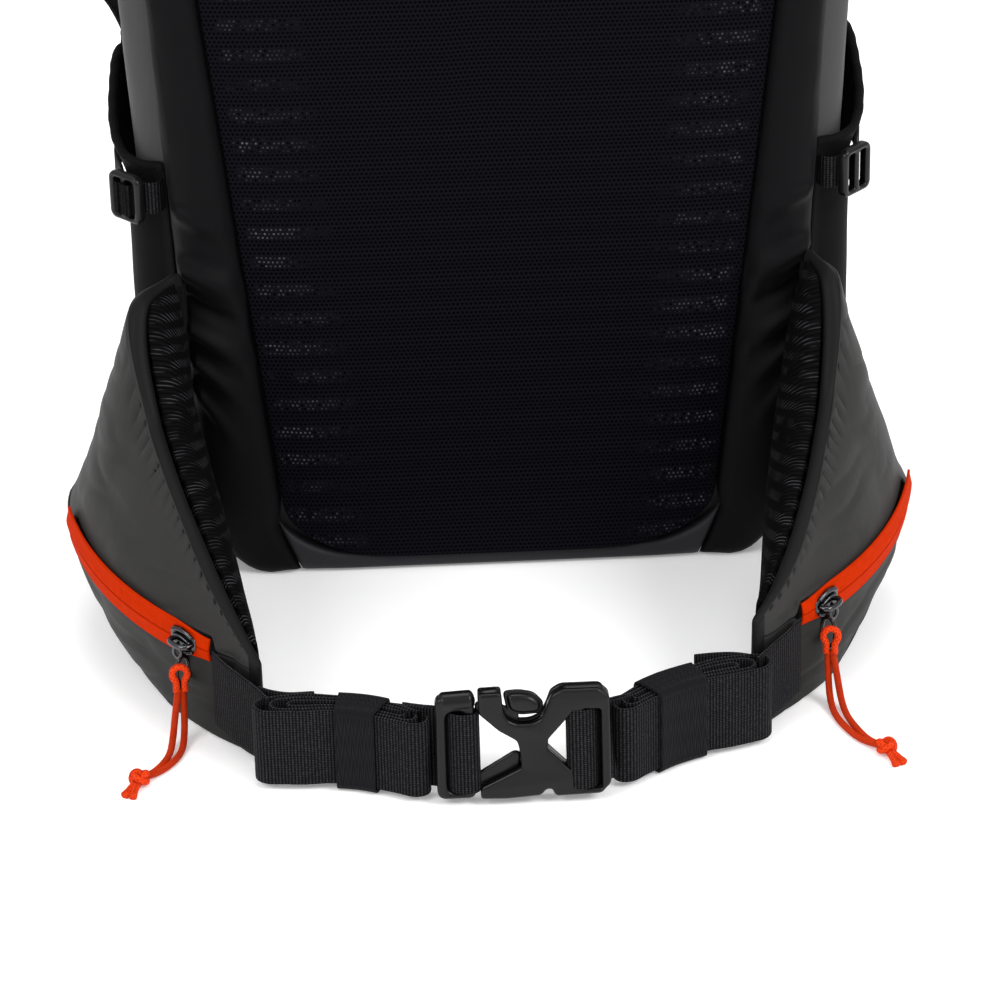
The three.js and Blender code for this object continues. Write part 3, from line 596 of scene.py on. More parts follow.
def floor_look():
    glow = {"Emission_Color": (1, 1, 1, 1), "Emission_Strength": 0.2}
    look = Look("floor_paper", 0.9, Specular_IOR_Level=0.1, **glow)
    look.colour(look.tint(look.noise(2, 1), (0.93, 0.93, 0.93, 1), (0.95, 0.95, 0.95, 1)))
    look.raised(look.noise(500, 1), 0.00002, 0.2)
    return look.material


RIB_PITCH = 15  # of the back panel's mesh
HIP_RIB = 7.7  # of the hip pads' mesh
PAD_FLARE = 0.09  # how fast the back pad widens with height

SIDE_CLOTH = cloth("side_cloth", "#333334", "#444445", 0.6, crumple=0.001)
BORDER_CLOTH = cloth("border_cloth", "#050506", "#101012", 0.5, crumple=0.0006, shine=0.05)
BAND_CLOTH = cloth("band_cloth", "#1b191c", "#2a282b", 0.5, crumple=0.0004)
PANEL_CLOTH = cloth("panel_cloth", "#222223", "#363637", 0.6, crumple=0.001)
COVER_CLOTH = cloth("cover_cloth", "#181919", "#282929", 0.6, crumple=0.0008)
RIM_CLOTH = cloth("rim_cloth", "#0c0c0d", "#181819", 0.5, crumple=0.0003, shine=0.08)
STRETCH_CLOTH = cloth(
    "stretch_cloth", "#080809", "#131314", 0.78, weave=0.0014, weave_depth=0.0002, shine=0.06,
)
UPPER_CLOTH = cloth("pocket_upper_cloth", "#1d1d1d", "#302f2e", 0.56, crumple=0.0012)
LOWER_CLOTH = cloth("pocket_lower_cloth", "#141514", "#212221", 0.58, crumple=0.0008)
AIRBAG_CLOTH = cloth("airbag_cloth", "#b23418", "#e0552c", 0.5, crumple=0.001)
# the last colour is the painted highlight in the back mesh's holes along its rib crests
MESH_CLOTH = spacer_mesh("spacer_mesh", "#010102", "#0d0d13", "#54545c")
HIP_MESH = dashed_mesh("hip_mesh", "#020202", "#0a0a0b", "#39393c")
WEBBING = ribbed_webbing("webbing", "#040404", "#424246", 0.0014)
ELASTIC = herringbone("elastic", "#050406", "#1b1a1d")
ZIP_TAPE = zip_tape("zip_tape", "#9c2000", "#c83002")
ZIP_COIL = cloth("zip_coil", "#6c1203", "#a82006", 0.5)
CORD_BRAID = braid("cord_braid", "#a82204", "#e2400f")
PLASTIC = moulded("buckle_plastic", "#040405", "#151516", 0.3)
HANDLE_PLASTIC = moulded("handle_plastic", "#c8300c", "#f05624", 0.42)
SHEET_PLASTIC = moulded("sheet_plastic", "#b8b8b2", "#cececa", 0.5)
GUNMETAL = metal("gunmetal", "#1c1c1e", "#66666a", 0.17)
WIRE_METAL = metal("wire_metal", "#1e1a1a", "#56504e", 0.2)
STAY_METAL = metal("stay_metal", "#9ea2a6", "#c4c7ca", 0.35)
HEAD_METAL = metal("head_metal", "#7c7e80", "#a4a6a8", 0.32)
CARTRIDGE_PAINT = moulded("cartridge_paint", "#8a1a10", "#b02a1e", 0.3)
HOSE_RUBBER = moulded("hose_rubber", "#0c0c0d", "#1e1e20", 0.6)
FOAM = foam_look("foam", "#161618", "#26262a")


# ---- Pull cords: two strands a side, from the ring on the zip slider to a knot on the floor ----
CORD_ROUTES = {
    "left": [(153, -146, 26), (154, -149, 14), (155, -153, 4.5), (156, -160, 1.8), (159, -170, 1.8),
             (165, -179, 1.8), (172, -186, 3.4)],
    "right": [(145, -136, 26), (146, -139, 14), (147, -143, 4.5), (148, -151, 1.8), (151, -164, 1.8),
              (157, -177, 1.8), (165, -186, 3.4)],
}
CORD_RADIUS = 1.6
CORD_APART = 2.0  # each strand from the middle of the pair
CORD_POINTS = 18


def mirrored(points, sign):
    return [(x * sign, *rest) for x, *rest in points]


def strand_points(side, shift):
    """The strand's points, side by side with its twin and together at both ends."""
    path = Path(mirrored(CORD_ROUTES[side], SIDES[side]))
    spots = []
    for i in range(CORD_POINTS):
        share = i / (CORD_POINTS - 1)
        spot = path.at(share)
        apart = shift * mix(0.55, 1.35, math.sin(math.pi * share))
        spots.append(spot + Vector((apart * SIDES[side], -0.4 * apart, 0)))
    return spots


def curve_of(name, points, radius, cyclic=False):
    """A round curve object through points."""
    data = bpy.data.curves.new(name, "CURVE")
    data.dimensions = "3D"
    data.bevel_depth = radius * MM
    data.bevel_resolution = 4
    data.use_fill_caps = not cyclic
    data.resolution_u = 6
    spline = data.splines.new("POLY")
    spline.points.add(len(points) - 1)
    for point, spot in zip(spline.points, points):
        point.co = (*at(*spot), 1)
    spline.use_cyclic_u = cyclic
    thing = bpy.data.objects.new(name, data)
    bpy.context.collection.objects.link(thing)
    return thing


def knot_of(side):
    """An overhand knot round the two strands: a few turns of cord drawn tight, with frayed tails."""
    x, y, z = mirrored(CORD_ROUTES[side], SIDES[side])[-1]
    sign = SIDES[side]
    turns = []
    for i in range(61):
        angle = 2 * math.pi * i / 60
        wide = 2.7 + 0.9 * math.cos(3 * angle)
        turns.append((
            x + sign * (wide * math.cos(2 * angle)),
            y + 1.15 * wide * math.sin(2 * angle),
            z + 0.3 + 1.5 * math.sin(3 * angle),
        ))
    knot = tube(f"cord_knot_{side}", turns, CORD_RADIUS, 150, 12, ends=False)

    def frayed(share):
        return CORD_RADIUS * (1 + 0.25 * ease(share, 0.7, 1))

    tails = []
    for dx, dy in ((3.0, -13), (6.5, -11.5)):
        route = [(x, y, z - 0.6), (x + sign * dx * 0.6, y + dy * 0.5, 2.0), (x + sign * dx, y + dy, 1.8)]
        tails.append(tube("tail", route, frayed, 16, 12))
    return joined(f"cord_knot_{side}", [knot, *tails])


def hitch_of(side):
    """The cord's loop where it goes through the ring."""
    x, y, z = mirrored(CORD_ROUTES[side], SIDES[side])[0]
    sign = SIDES[side]
    up = [(-2.0, -0.6, -1.0), (-2.0, -0.4, 4), (-3.4, -0.6, 7.4), (-2.6, -0.6, 10.2), (0, -0.6, 11.6)]
    down = [(2.8, -1.0, 10.2), (3.4, -1.6, 7.4), (2.0, -1.4, 4), (2.0, -1.4, -1.0)]
    loop = [(x + sign * dx, y + dy, z + dz) for dx, dy, dz in up + down]
    return tube(f"cord_hitch_{side}", loop, CORD_RADIUS, 30, 12)


def make_cords():
    for side in SIDES:
        for letter, shift in (("a", -CORD_APART), ("b", CORD_APART)):
            spots = strand_points(side, shift)
            strand = curve_of(f"pull_cord_{side}_{letter}", spots, CORD_RADIUS)
            finished(strand, f"puller_{side}", CORD_BRAID, "cord_orange", f"pull_cord_{side}")
        knot = finished(knot_of(side), f"puller_{side}", CORD_BRAID, "cord_orange")
        hitch = finished(hitch_of(side), f"puller_{side}", CORD_BRAID, "cord_orange")


make_cords()


# ---- The pack body's form: the CAD's, with its side panels filled out a little more ----
GAP = 0.4
HEIGHT = 575
DEPTH = 200
BODY_FRONT = 14
WIDEST_AT = 75
SIDE_BULGE = 16
BOTTOM_ROUND = 38
TOP_ROUND = 90
PAD_BOTTOM, PAD_TOP, PAD_ROUND = 9, 478, 30
BORDER_FRONT = 3
SEAM_FOOT, SEAM_SLOPE, SEAM_TOP = 97, 0.41, 28


def corner_inset(distance, radius):
    """How far a rounded corner cuts in, at this distance from the end."""
    if distance >= radius:
        return 0
    return radius - math.sqrt(max(0, radius**2 - (radius - distance) ** 2))


def frame_half(z):
    side = min(140.6 + 0.0518 * z, 156 - 0.08 * (z - 300))
    return side - corner_inset(z, BOTTOM_ROUND) - corner_inset(HEIGHT - z, TOP_ROUND)


def border_width(z):
    return max(23.5, 40 - 0.055 * z)


def body_rear(z):
    rear = DEPTH - 38 * ((z - 260) / 300) ** 2
    return rear - corner_inset(z, BOTTOM_ROUND) - corner_inset(HEIGHT - z, TOP_ROUND * 0.7)


def body_point(angle, reach, z):
    c, s = math.cos(angle), math.sin(angle)
    power = 1 / 4 if s < 0 else 1 / 2
    depth = WIDEST_AT - BODY_FRONT if s < 0 else body_rear(z) - WIDEST_AT
    x = (frame_half(z) + SIDE_BULGE) * math.copysign(abs(c) ** power, c)
    y = depth * math.copysign(abs(s) ** power, s)
    return Vector((x * reach, WIDEST_AT + y * reach, z))


def side_x(y, z):
    """x of the side panel at a depth and a height."""
    power = 8 if y < WIDEST_AT else 4
    depth = WIDEST_AT - BODY_FRONT if y < WIDEST_AT else body_rear(z) - WIDEST_AT
    share = min(0.999, abs(y - WIDEST_AT) / depth)
    return (frame_half(z) + SIDE_BULGE) * (1 - share**power) ** (1 / power)


def rear_y(x, z):
    """y of the pack's rear face (the side away from the wearer)."""
    share = min(0.999, abs(x) / (frame_half(z) + SIDE_BULGE))
    return WIDEST_AT + (body_rear(z) - WIDEST_AT) * (1 - share**4) ** 0.25


def top_z(x, y):
    """z of the pack's top over a point, found by halving."""
    def outside(z):
        power = 8 if y < WIDEST_AT else 4
        depth = WIDEST_AT - BODY_FRONT if y < WIDEST_AT else body_rear(z) - WIDEST_AT
        return (abs(x) / (frame_half(z) + SIDE_BULGE)) ** power + (abs(y - WIDEST_AT) / depth) ** power > 1
    low, high = 400.0, float(HEIGHT)
    if not outside(high):
        return high
    for _ in range(24):
        middle = (low + high) / 2
        low, high = (low, middle) if outside(middle) else (middle, high)
    return low


# ---- Pack body ----
FRONT_HALF, FRONT_BOTTOM, FRONT_TOP = 104, 64, 424
TOP_HALF, TOP_NEAR, TOP_FAR = 96, 48, 142


def bag_skin():
    """The shell of side, base and rear fabric, slightly slack between its seams."""
    levels = 120
    cap = 10

    def place(u, v):
        angle = 2 * math.pi * u
        level = v * (levels + 2 * cap)
        if level < cap:
            reach, z = level / cap, 0.0
        elif level > levels + cap:
            reach, z = (levels + 2 * cap - level) / cap, float(HEIGHT)
        else:
            reach = 1.0
            z = HEIGHT * (0.5 - 0.5 * math.cos(math.pi * (level - cap) / levels))
        spot = body_point(angle, max(reach, 0.001), z)
        away = ease(spot.y, 22, 60) * ease(z, 6, 40) * ease(HEIGHT - z, 4, 60) * reach
        fold = rumple((spot.x, spot.y, spot.z * 0.6), 46, 3) * 2.0
        fine = crease((spot.x, spot.y, spot.z * 0.7), 30, 9) * 1.4
        out = Vector((spot.x, spot.y - WIDEST_AT, 0)).normalized()
        return spot + out * away * (fold - fine - 0.6)

    skin = faced_out(sheet_of("bag_skin", 176, levels + 2 * cap, place, closed=True))
    skin = applied(skin, "SOLIDIFY", thickness=2.4 * MM, offset=-1)
    cut(skin, (-FRONT_HALF, 120, FRONT_BOTTOM), (FRONT_HALF, DEPTH + 40, FRONT_TOP))
    cut(skin, (-TOP_HALF, TOP_NEAR, HEIGHT - 60), (TOP_HALF, TOP_FAR, HEIGHT + 40))
    return finished(skin, "pack", SIDE_CLOTH, "side_fabric", "bag_shell")


bag_skin()


def sided(sign, middle):
    """Mirrors a surface written for +X, turned so that it still faces the same way."""
    if sign > 0:
        return middle
    return lambda u, v: Vector((-1, 1, 1)) * middle(1 - u, v)


def turned(middle):
    """The same surface with u run the other way, so that it faces the other way."""
    return lambda u, v: middle(1 - u, v)


def fold(spot, start, end, width, height):
    """A soft ridge along a line in the X-Z plane, tapering to nothing at its end."""
    ax, az = start
    dx, dz = end[0] - ax, end[1] - az
    share = clamp(((abs(spot.x) - ax) * dx + (spot.z - az) * dz) / (dx * dx + dz * dz))
    away = math.hypot(abs(spot.x) - ax - share * dx, spot.z - az - share * dz)
    return height * (1 - share) ** 0.7 * bump(away, 0, width * (0.6 + share))


def front_panel():
    def middle(u, v):
        x = mix(FRONT_HALF - 1.5, -(FRONT_HALF - 1.5), u)
        z = mix(FRONT_BOTTOM + 1, FRONT_TOP - 1.5, v)
        return Vector((x, rear_y(x, z) - 2, z))

    def relief(u, v, spot):
        stuffed = 3.2 * math.sin(math.pi * u) ** 0.5 * math.sin(math.pi * v) ** 0.5
        cross_seam, upright_seam = 286, 62
        seam = 1.8 * bump(spot.z, cross_seam, 5)
        seam += 1.4 * bump(abs(spot.x), upright_seam, 4) * ease(cross_seam - spot.z, 0, 6)
        slack = rumple((spot.x, 0, spot.z * 0.7), 38, 5) * 1.5
        return stuffed - seam + slack - crease((spot.x, 0, spot.z), 26, 2) * 0.7

    panel = slab("front_panel_cloth", middle, 4, 90, 130, relief=relief)
    finished(panel, "front_flap", PANEL_CLOTH, "panel_fabric", "front_panel")


def airbag_cover():
    def middle(u, v):
        x = mix(-(TOP_HALF - 1.5), TOP_HALF - 1.5, u)
        y = mix(TOP_NEAR + 1.5, TOP_FAR - 1.5, v)
        return Vector((x, y, top_z(x, y) - 2))

    def relief(u, v, spot):
        return rumple((spot.x, spot.y, 0), 34, 7) * 1.2 + 1.2 * math.sin(math.pi * v) ** 0.5

    cover = slab("airbag_cover_cloth", middle, 3.6, 80, 40, relief=relief)
    finished(cover, "burst_cover", COVER_CLOTH, "panel_fabric", "airbag_cover")


def zip_path(half, bottom, top):
    """The U of the main zip in the X-Z plane."""
    corner = 14
    points = [(-half, z) for z in (bottom, mix(bottom, top, 0.33), mix(bottom, top, 0.66), top - corner)]
    points += [(-half + corner * 0.3, top - corner * 0.3), (-half + corner, top), (0, top)]
    return points + [(-x, z) for x, z in reversed(points[:-1])]


def main_zip():
    middle_line = Path([(x, 0, z) for x, z in zip_path(FRONT_HALF + 4.5, FRONT_BOTTOM + 13, FRONT_TOP + 4.5)])

    def place(u, v):
        spot, way = middle_line.at(u), middle_line.way(u)
        across = Vector((way.z, 0, -way.x)) * mix(-4.3, 4.3, v)
        x, z = spot.x + across.x, spot.z + across.z
        return Vector((x, rear_y(x, z) + 1.2, z))

    tape = applied(sheet_of("main_zip_tape", 260, 4, place), "SOLIDIFY", thickness=0.9 * MM, offset=1)
    finished(tape, "pack", ZIP_TAPE, "zip_orange", "main_zip")
    line = [place(i / 120, 0.5) + Vector((0, 0.2, 0)) for i in range(121)]
    finished(tube("main_zip_coil", line, 0.9, 260, 8), "pack", ZIP_COIL, "zip_orange")


def top_hinge():
    """The cloth on which the airbag's cover turns."""
    def middle(u, v):
        x = mix(-(TOP_HALF - 4), TOP_HALF - 4, u)
        y = mix(TOP_FAR - 9, TOP_FAR + 6, v)
        return Vector((x, y, top_z(x, y) + 0.4 - 1.6 * bump(v, 0.6, 0.3)))

    strip = slab("cover_hinge_cloth", middle, 1.2, 60, 14)
    z = top_z(0, TOP_FAR)
    start, end = (0, TOP_FAR + 2.5, z), (0, TOP_FAR - 5, z)
    hinge_cloth(strip, "pack", "burst_cover", start, end, COVER_CLOTH)


def foot_hinge():
    """The cloth on which the front panel turns."""
    def middle(u, v):
        x = mix(FRONT_HALF - 4, -(FRONT_HALF - 4), u)
        z = mix(FRONT_BOTTOM - 6, FRONT_BOTTOM + 9, v)
        return Vector((x, rear_y(x, z) + 0.4 - 1.6 * bump(v, 0.4, 0.3), z))

    strip = slab("flap_hinge_cloth", middle, 1.2, 60, 14)
    y = rear_y(0, FRONT_BOTTOM)
    start, end = (0, y, FRONT_BOTTOM - 2.5), (0, y, FRONT_BOTTOM + 5)
    hinge_cloth(strip, "pack", "front_flap", start, end, PANEL_CLOTH)


front_panel()
airbag_cover()
main_zip()
top_hinge()
foot_hinge()


# ---- Back panel ----
def pad_edge(z, grow=0.0):
    from_end = min(z - PAD_BOTTOM + grow, PAD_TOP + grow - z)
    return frame_half(z) - border_width(z) - corner_inset(from_end, PAD_ROUND) + grow


CHANNEL_HALF, CHANNEL_BOTTOM = 21, 232


def pad_relief(u, v, spot):
    """Ribs across the mesh inside a flat margin, and a channel up the middle of the upper part."""
    margin = ease(pad_edge(spot.z) - abs(spot.x), 7, 15) * ease(spot.z - PAD_BOTTOM, 8, 18)
    margin *= ease(PAD_TOP - spot.z, 8, 18)
    rib = 0.5 + 0.5 * math.cos(2 * math.pi * spot.z / RIB_PITCH - math.pi / 2)
    channel = bump(abs(spot.x), 0, CHANNEL_HALF) ** 0.5
    channel *= ease(spot.z, CHANNEL_BOTTOM - 8, CHANNEL_BOTTOM + 12)
    return margin * (0.9 * rib * (1 - channel) - 1.2 * channel) + 0.5 * rumple(spot, 60, 4)


def back_panel():
    def layer(y_front, thick, grow):
        def middle(u, v):
            z = mix(PAD_BOTTOM - grow, PAD_TOP + grow, v)
            across = 2 * u - 1
            return Vector((across * pad_edge(z, grow), y_front + thick / 2 + 3 * across**6, z))
        return middle

    mesh = slab(
        "back_spacer_mesh", layer(0.6, 2.0, 0), 2.0, 150, 330, relief=pad_relief,
        uv=lambda spot: (spot.x * MM, spot.z * MM),
    )
    finished(mesh, "pack", MESH_CLOTH, "spacer_mesh", "back_mesh")
    foam = slab("back_foam_core", layer(3.2, 7, -2), 7, 20, 40)
    finished(foam, "pack", FOAM, "foam", "back_foam")


BORDER_THICK = 11
# ridges that spread from each hip wing's root: start, end, width and height
ROOT_FOLDS = [
    ((152, 172), (106, 146), 9, 8.0),
    ((150, 155), (110, 128), 6, -5.5),
    ((148, 142), (112, 112), 5.5, 7.0),
    ((147, 126), (116, 92), 4.5, 5.0),
    ((145, 110), (122, 72), 4, 3.4),
    ((147, 196), (116, 182), 8, 3.4),
]


def seam_half(z):
    return SEAM_FOOT + SEAM_SLOPE * min(z, SEAM_TOP)


def border_inner(z):
    return mix(seam_half(z), pad_edge(max(z, PAD_BOTTOM)) + 0.6, ease(z, SEAM_TOP - 4, SEAM_TOP + 14))


def border_relief(u, v, spot):
    crown = 4.2 * math.sin(math.pi * u) ** 0.9 * ease(v, 0, 0.08)
    folds = sum(fold(spot, *row) for row in ROOT_FOLDS) * ease(frame_half(spot.z) - abs(spot.x), 0.5, 7)
    slack = rumple((spot.x * 1.3, 0, spot.z * 0.5), 40, 11) * 1.3
    fine = crease((spot.x, 0, spot.z * 0.6), 22, 6) * 0.5 * ease(spot.z, 60, 130)
    return crown + folds + slack - fine


def border(side):
    sign = SIDES[side]

    def middle(u, v):
        z = mix(1, HEIGHT - 50, v)
        beside_pad = PAD_TOP - 12
        inner = border_inner(min(z, beside_pad))
        if z >= beside_pad:
            inner = min(inner, frame_half(z) - 30)
        return Vector((mix(inner, frame_half(z), u), BORDER_FRONT + BORDER_THICK / 2 + 5 * u**4, z))

    relief = border_relief if sign > 0 else lambda u, v, spot: border_relief(1 - u, v, spot)
    piece = slab(f"border_cushion_{side}", sided(sign, middle), BORDER_THICK, 44, 260, relief=relief)
    finished(piece, "pack", BORDER_CLOTH, "border_fabric", f"border_wing_{side}")


def bottom_band():
    def middle(u, v):
        x = mix(-1, 1, u)
        pad_x = min(abs(x) * seam_half(14), pad_edge(PAD_BOTTOM + PAD_ROUND) - 0.5)
        top = PAD_BOTTOM + corner_inset(pad_edge(PAD_BOTTOM + PAD_ROUND) - pad_x, PAD_ROUND)
        z = mix(0.5, min(top, SEAM_TOP) + 1.5, v)
        return Vector((x * (seam_half(z) - 0.4), BORDER_FRONT + 6, z))

    def relief(u, v, spot):
        return 0.8 * math.sin(math.pi * v) + rumple((spot.x * 0.4, 0, spot.z), 22, 2) * 0.4

    band = slab("bottom_band_cloth", middle, 9, 120, 10, relief=relief)
    finished(band, "pack", BAND_CLOTH, "band_fabric", "bottom_band")


back_panel()
for side in SIDES:
    border(side)
bottom_band()


# ---- Top: haul loop and yoke ----
def haul_loop():
    def middle(u, v):
        lift = math.sin(math.pi * u) ** 0.7 * 25
        return Vector((mix(-46, 46, u), mix(20, 42, v), HEIGHT + 2 + lift))

    finished(slab("haul_webbing", middle, 2.5, 60, 6), "pack", WEBBING, "webbing", "haul_loop")


def shoulder_yoke():
    def middle(u, v):
        return Vector((mix(-97, 97, u), -2, mix(484, 532, v)))

    def relief(u, v, spot):
        return rumple((spot.x, 0, spot.z), 30, 8) * 0.7 - 1.2 * bump(v, 0.5, 0.06)

    yoke = slab("yoke_cloth", middle, 8.5, 80, 24, relief=relief)
    finished(yoke, "pack", BORDER_CLOTH, "border_fabric", "shoulder_yoke")


haul_loop()
shoulder_yoke()


# ---- Sides: stretch pockets and compression straps ----
POCKET_NEAR, POCKET_FAR, POCKET_BOTTOM = 15.5, 160, 18
STRAP_HEIGHT, STRAP_WIDTH, STRAP_THICK, STRAP_FAR = 200, 16, 1.8, 150


def pocket_hem(y):
    return 213 + 31 * ease(y, 18, 84) + 0.2 * max(0, y - 84)


def pocket_off(y, z):
    """How far the pocket stands off the side panel: fullest at its hem, flat further back."""
    arch = abs(math.sin(math.pi * clamp((y - 12) / 78))) ** 0.42
    fullness = mix(6.6, 3.4, ease(z, 110, 190)) + 3.6 * ease(z, 190, 228)
    return 0.8 + fullness * arch * ease(z, POCKET_BOTTOM, 70)


def side_pocket(side):
    sign = SIDES[side]

    def place(u, v):
        y = mix(POCKET_NEAR, POCKET_FAR, u)
        z = mix(POCKET_BOTTOM, pocket_hem(y), v)
        gather = ease(v, 0.7, 1.0) * (0.15 * math.sin(2 * math.pi * y / 9) - 0.4)
        strap = -2.0 * bump(z, STRAP_HEIGHT, 16) * math.sin(math.pi * u) ** 0.4
        slack = rumple((0, y, z), 34, 12) * 1.2 * math.sin(math.pi * u) ** 0.5
        x = side_x(y, z) + 1 + max(0.4, pocket_off(y, z) + gather + strap + slack)
        x = mix(max(x, frame_half(z) + 2), x, ease(y, 18, 34))
        return Vector((sign * x, y, z))

    pocket = sheet_of(f"pocket_stretch_{side}", 80, 70, place)
    pocket = applied(pocket, "SOLIDIFY", thickness=1.6 * MM, offset=0)
    finished(pocket, "pack", STRETCH_CLOTH, "stretch_fabric", f"side_pocket_{side}")
    hem = [place(i / 60, 1.0) for i in range(61)]
    binding = tube(f"pocket_hem_{side}", hem, 2.2, 220, 10)
    finished(binding, "pack", STRETCH_CLOTH, "stretch_fabric")


def strap_off(y):
    return pocket_off(y, STRAP_HEIGHT + STRAP_WIDTH / 2) + 3


def outline_box(x0, z0, x1, z1, radius):
    """A rounded rectangle's points."""
    points = []
    left, right, low, high = x0 + radius, x1 - radius, z0 + radius, z1 - radius
    for cx, cz, start in ((right, high, 0), (left, high, 90), (left, low, 180), (right, low, 270)):
        for step in range(7):
            angle = math.radians(start + 15 * step)
            points.append((cx + radius * math.cos(angle), cz + radius * math.sin(angle)))
    return points


def rounded_corners(points, radius=2.0):
    """A polygon with each corner cut to a small curve."""
    result = []
    for i, corner in enumerate(points):
        corner = Vector(corner)
        before, after = Vector(points[i - 1]), Vector(points[(i + 1) % len(points)])
        reach = min(radius, (before - corner).length / 2.2, (after - corner).length / 2.2)
        start = corner + (before - corner).normalized() * reach
        end = corner + (after - corner).normalized() * reach
        for step in range(6):
            t = step / 5
            result.append(tuple((start * (1 - t) ** 2 + corner * 2 * t * (1 - t) + end * t * t)))
    return result


def plate(name, outlines, thick, edge, place):
    """A moulded plate from an outline and its holes, with rounded edges, set by place(x, depth, z)."""
    data = bpy.data.curves.new(name, "CURVE")
    data.dimensions = "2D"
    data.fill_mode = "BOTH"
    data.extrude = thick / 2 - edge
    data.bevel_depth = edge
    data.bevel_resolution = 3
    data.offset = -edge
    for outline in outlines:
        spline = data.splines.new("POLY")
        spline.points.add(len(outline) - 1)
        for point, (x, z) in zip(spline.points, outline):
            point.co = (x, z, 0, 1)
        spline.use_cyclic_u = True
    source = bpy.data.objects.new(name, data)
    bpy.context.collection.objects.link(source)
    bpy.context.view_layer.update()
    mesh = bpy.data.meshes.new_from_object(source.evaluated_get(bpy.context.evaluated_depsgraph_get()))
    bpy.data.objects.remove(source)
    for vertex in mesh.vertices:
        x, z, depth = vertex.co
        vertex.co = at(*place(x, depth, z))
    thing = bpy.data.objects.new(name, mesh)
    bpy.context.collection.objects.link(thing)
    faced_out(thing)
    for face in thing.data.polygons:
        face.use_smooth = True
    thing.data.set_sharp_from_angle(angle=math.radians(35))
    return thing


LOCK_X, LOCK_Y, LOCK_LENGTH, LOCK_HALF = 171, 14, 20, 12


def compression(side):
    """Webbing from the border's seam, behind the ladder lock and back along the side."""
    sign = SIDES[side]
    route = [(154, 17), (156.5, 12), (161, 11), (167.3, 17.7), (172, 24), (174, 34)]
    for y in (50, 75, 100, 125, STRAP_FAR):
        route.append((side_x(y, STRAP_HEIGHT) + strap_off(y) + STRAP_THICK / 2, y))
    path = Path(route)

    def middle(u, v):
        spot = path.at(u)
        return Vector((spot.x, spot.y, STRAP_HEIGHT + STRAP_WIDTH * (v - 0.5)))

    strap = slab(f"compression_webbing_{side}", sided(sign, middle), STRAP_THICK, 90, 4)
    finished(strap, "pack", WEBBING, "webbing", f"compression_strap_{side}")

    def place(a, depth, z):
        """a along the lock and depth out of it, both half forward and half sideways."""
        turn = math.sqrt(0.5)
        return (sign * (LOCK_X + turn * (a + depth)), LOCK_Y + turn * (a - depth), STRAP_HEIGHT + z)

    def over_lock(u):
        """The webbing's depth as it comes up through one slot and goes down through the other."""
        return mix(-1.5, 3.6, ease(u, 0, 0.2) * ease(1 - u, 0, 0.2)) - 1.3 * bump(u, 0.55, 0.12)

    def threaded(u, v):
        return Vector(place(mix(-end + 3.6, end - 3.4, u), over_lock(u), mix(-8, 8, v)))

    end, high = LOCK_LENGTH / 2, LOCK_HALF
    outlines = [
        outline_box(-end, -high, end, high, 4),
        outline_box(-end + 3.6, 3 - high, -1.6, high - 3, 1.2),
        outline_box(1.6, 3 - high, end - 3.6, high - 3, 1.2),
    ]
    frame_piece = plate(f"ladder_lock_frame_{side}", outlines, 5, 1.5, place)
    finished(slab("threaded", sided(-sign, threaded), 1.6, 40, 4), "pack", WEBBING, "webbing")
    finished(frame_piece, "pack", PLASTIC, "buckle_plastic", f"ladder_lock_{side}")


for side in SIDES:
    side_pocket(side)
    compression(side)


# ---- Shoulder straps, swung back along the pack's sides ----
STRAP_POINTS = [
    (101, -10, 512), (128, -9, 522), (154, 14, 520), (164, 60, 492),
    (171, 112, 430), (175, 134, 360), (179, 140, 296),
]
PAD_HALF, PAD_END_HALF, PAD_THICK = 30, 19, 12
STRAP_TAIL = [
    (180, 139, 308), (185, 137.5, 292), (188.6, 136.5, 279), (186, 135, 266), (178, 132.5, 254),
    (171, 128, 236), (170.2, 122, 204), (169.5, 112, 162), (167, 101, 122),
]
strap_path = Path(STRAP_POINTS)


def on_strap(share, across, out):
    """A point on the padded strap: share along it, distance across and out of its middle surface."""
    along = strap_path.way(share)
    turn = ease(share, 0.04, 0.3)
    face = Vector((turn, turn - 1, 0)).normalized()
    wide = face.cross(along).normalized()
    up = along.cross(wide).normalized()
    return strap_path.at(share) + wide * across + up * out


def strap_half(share):
    return mix(PAD_HALF, PAD_END_HALF, share**3)


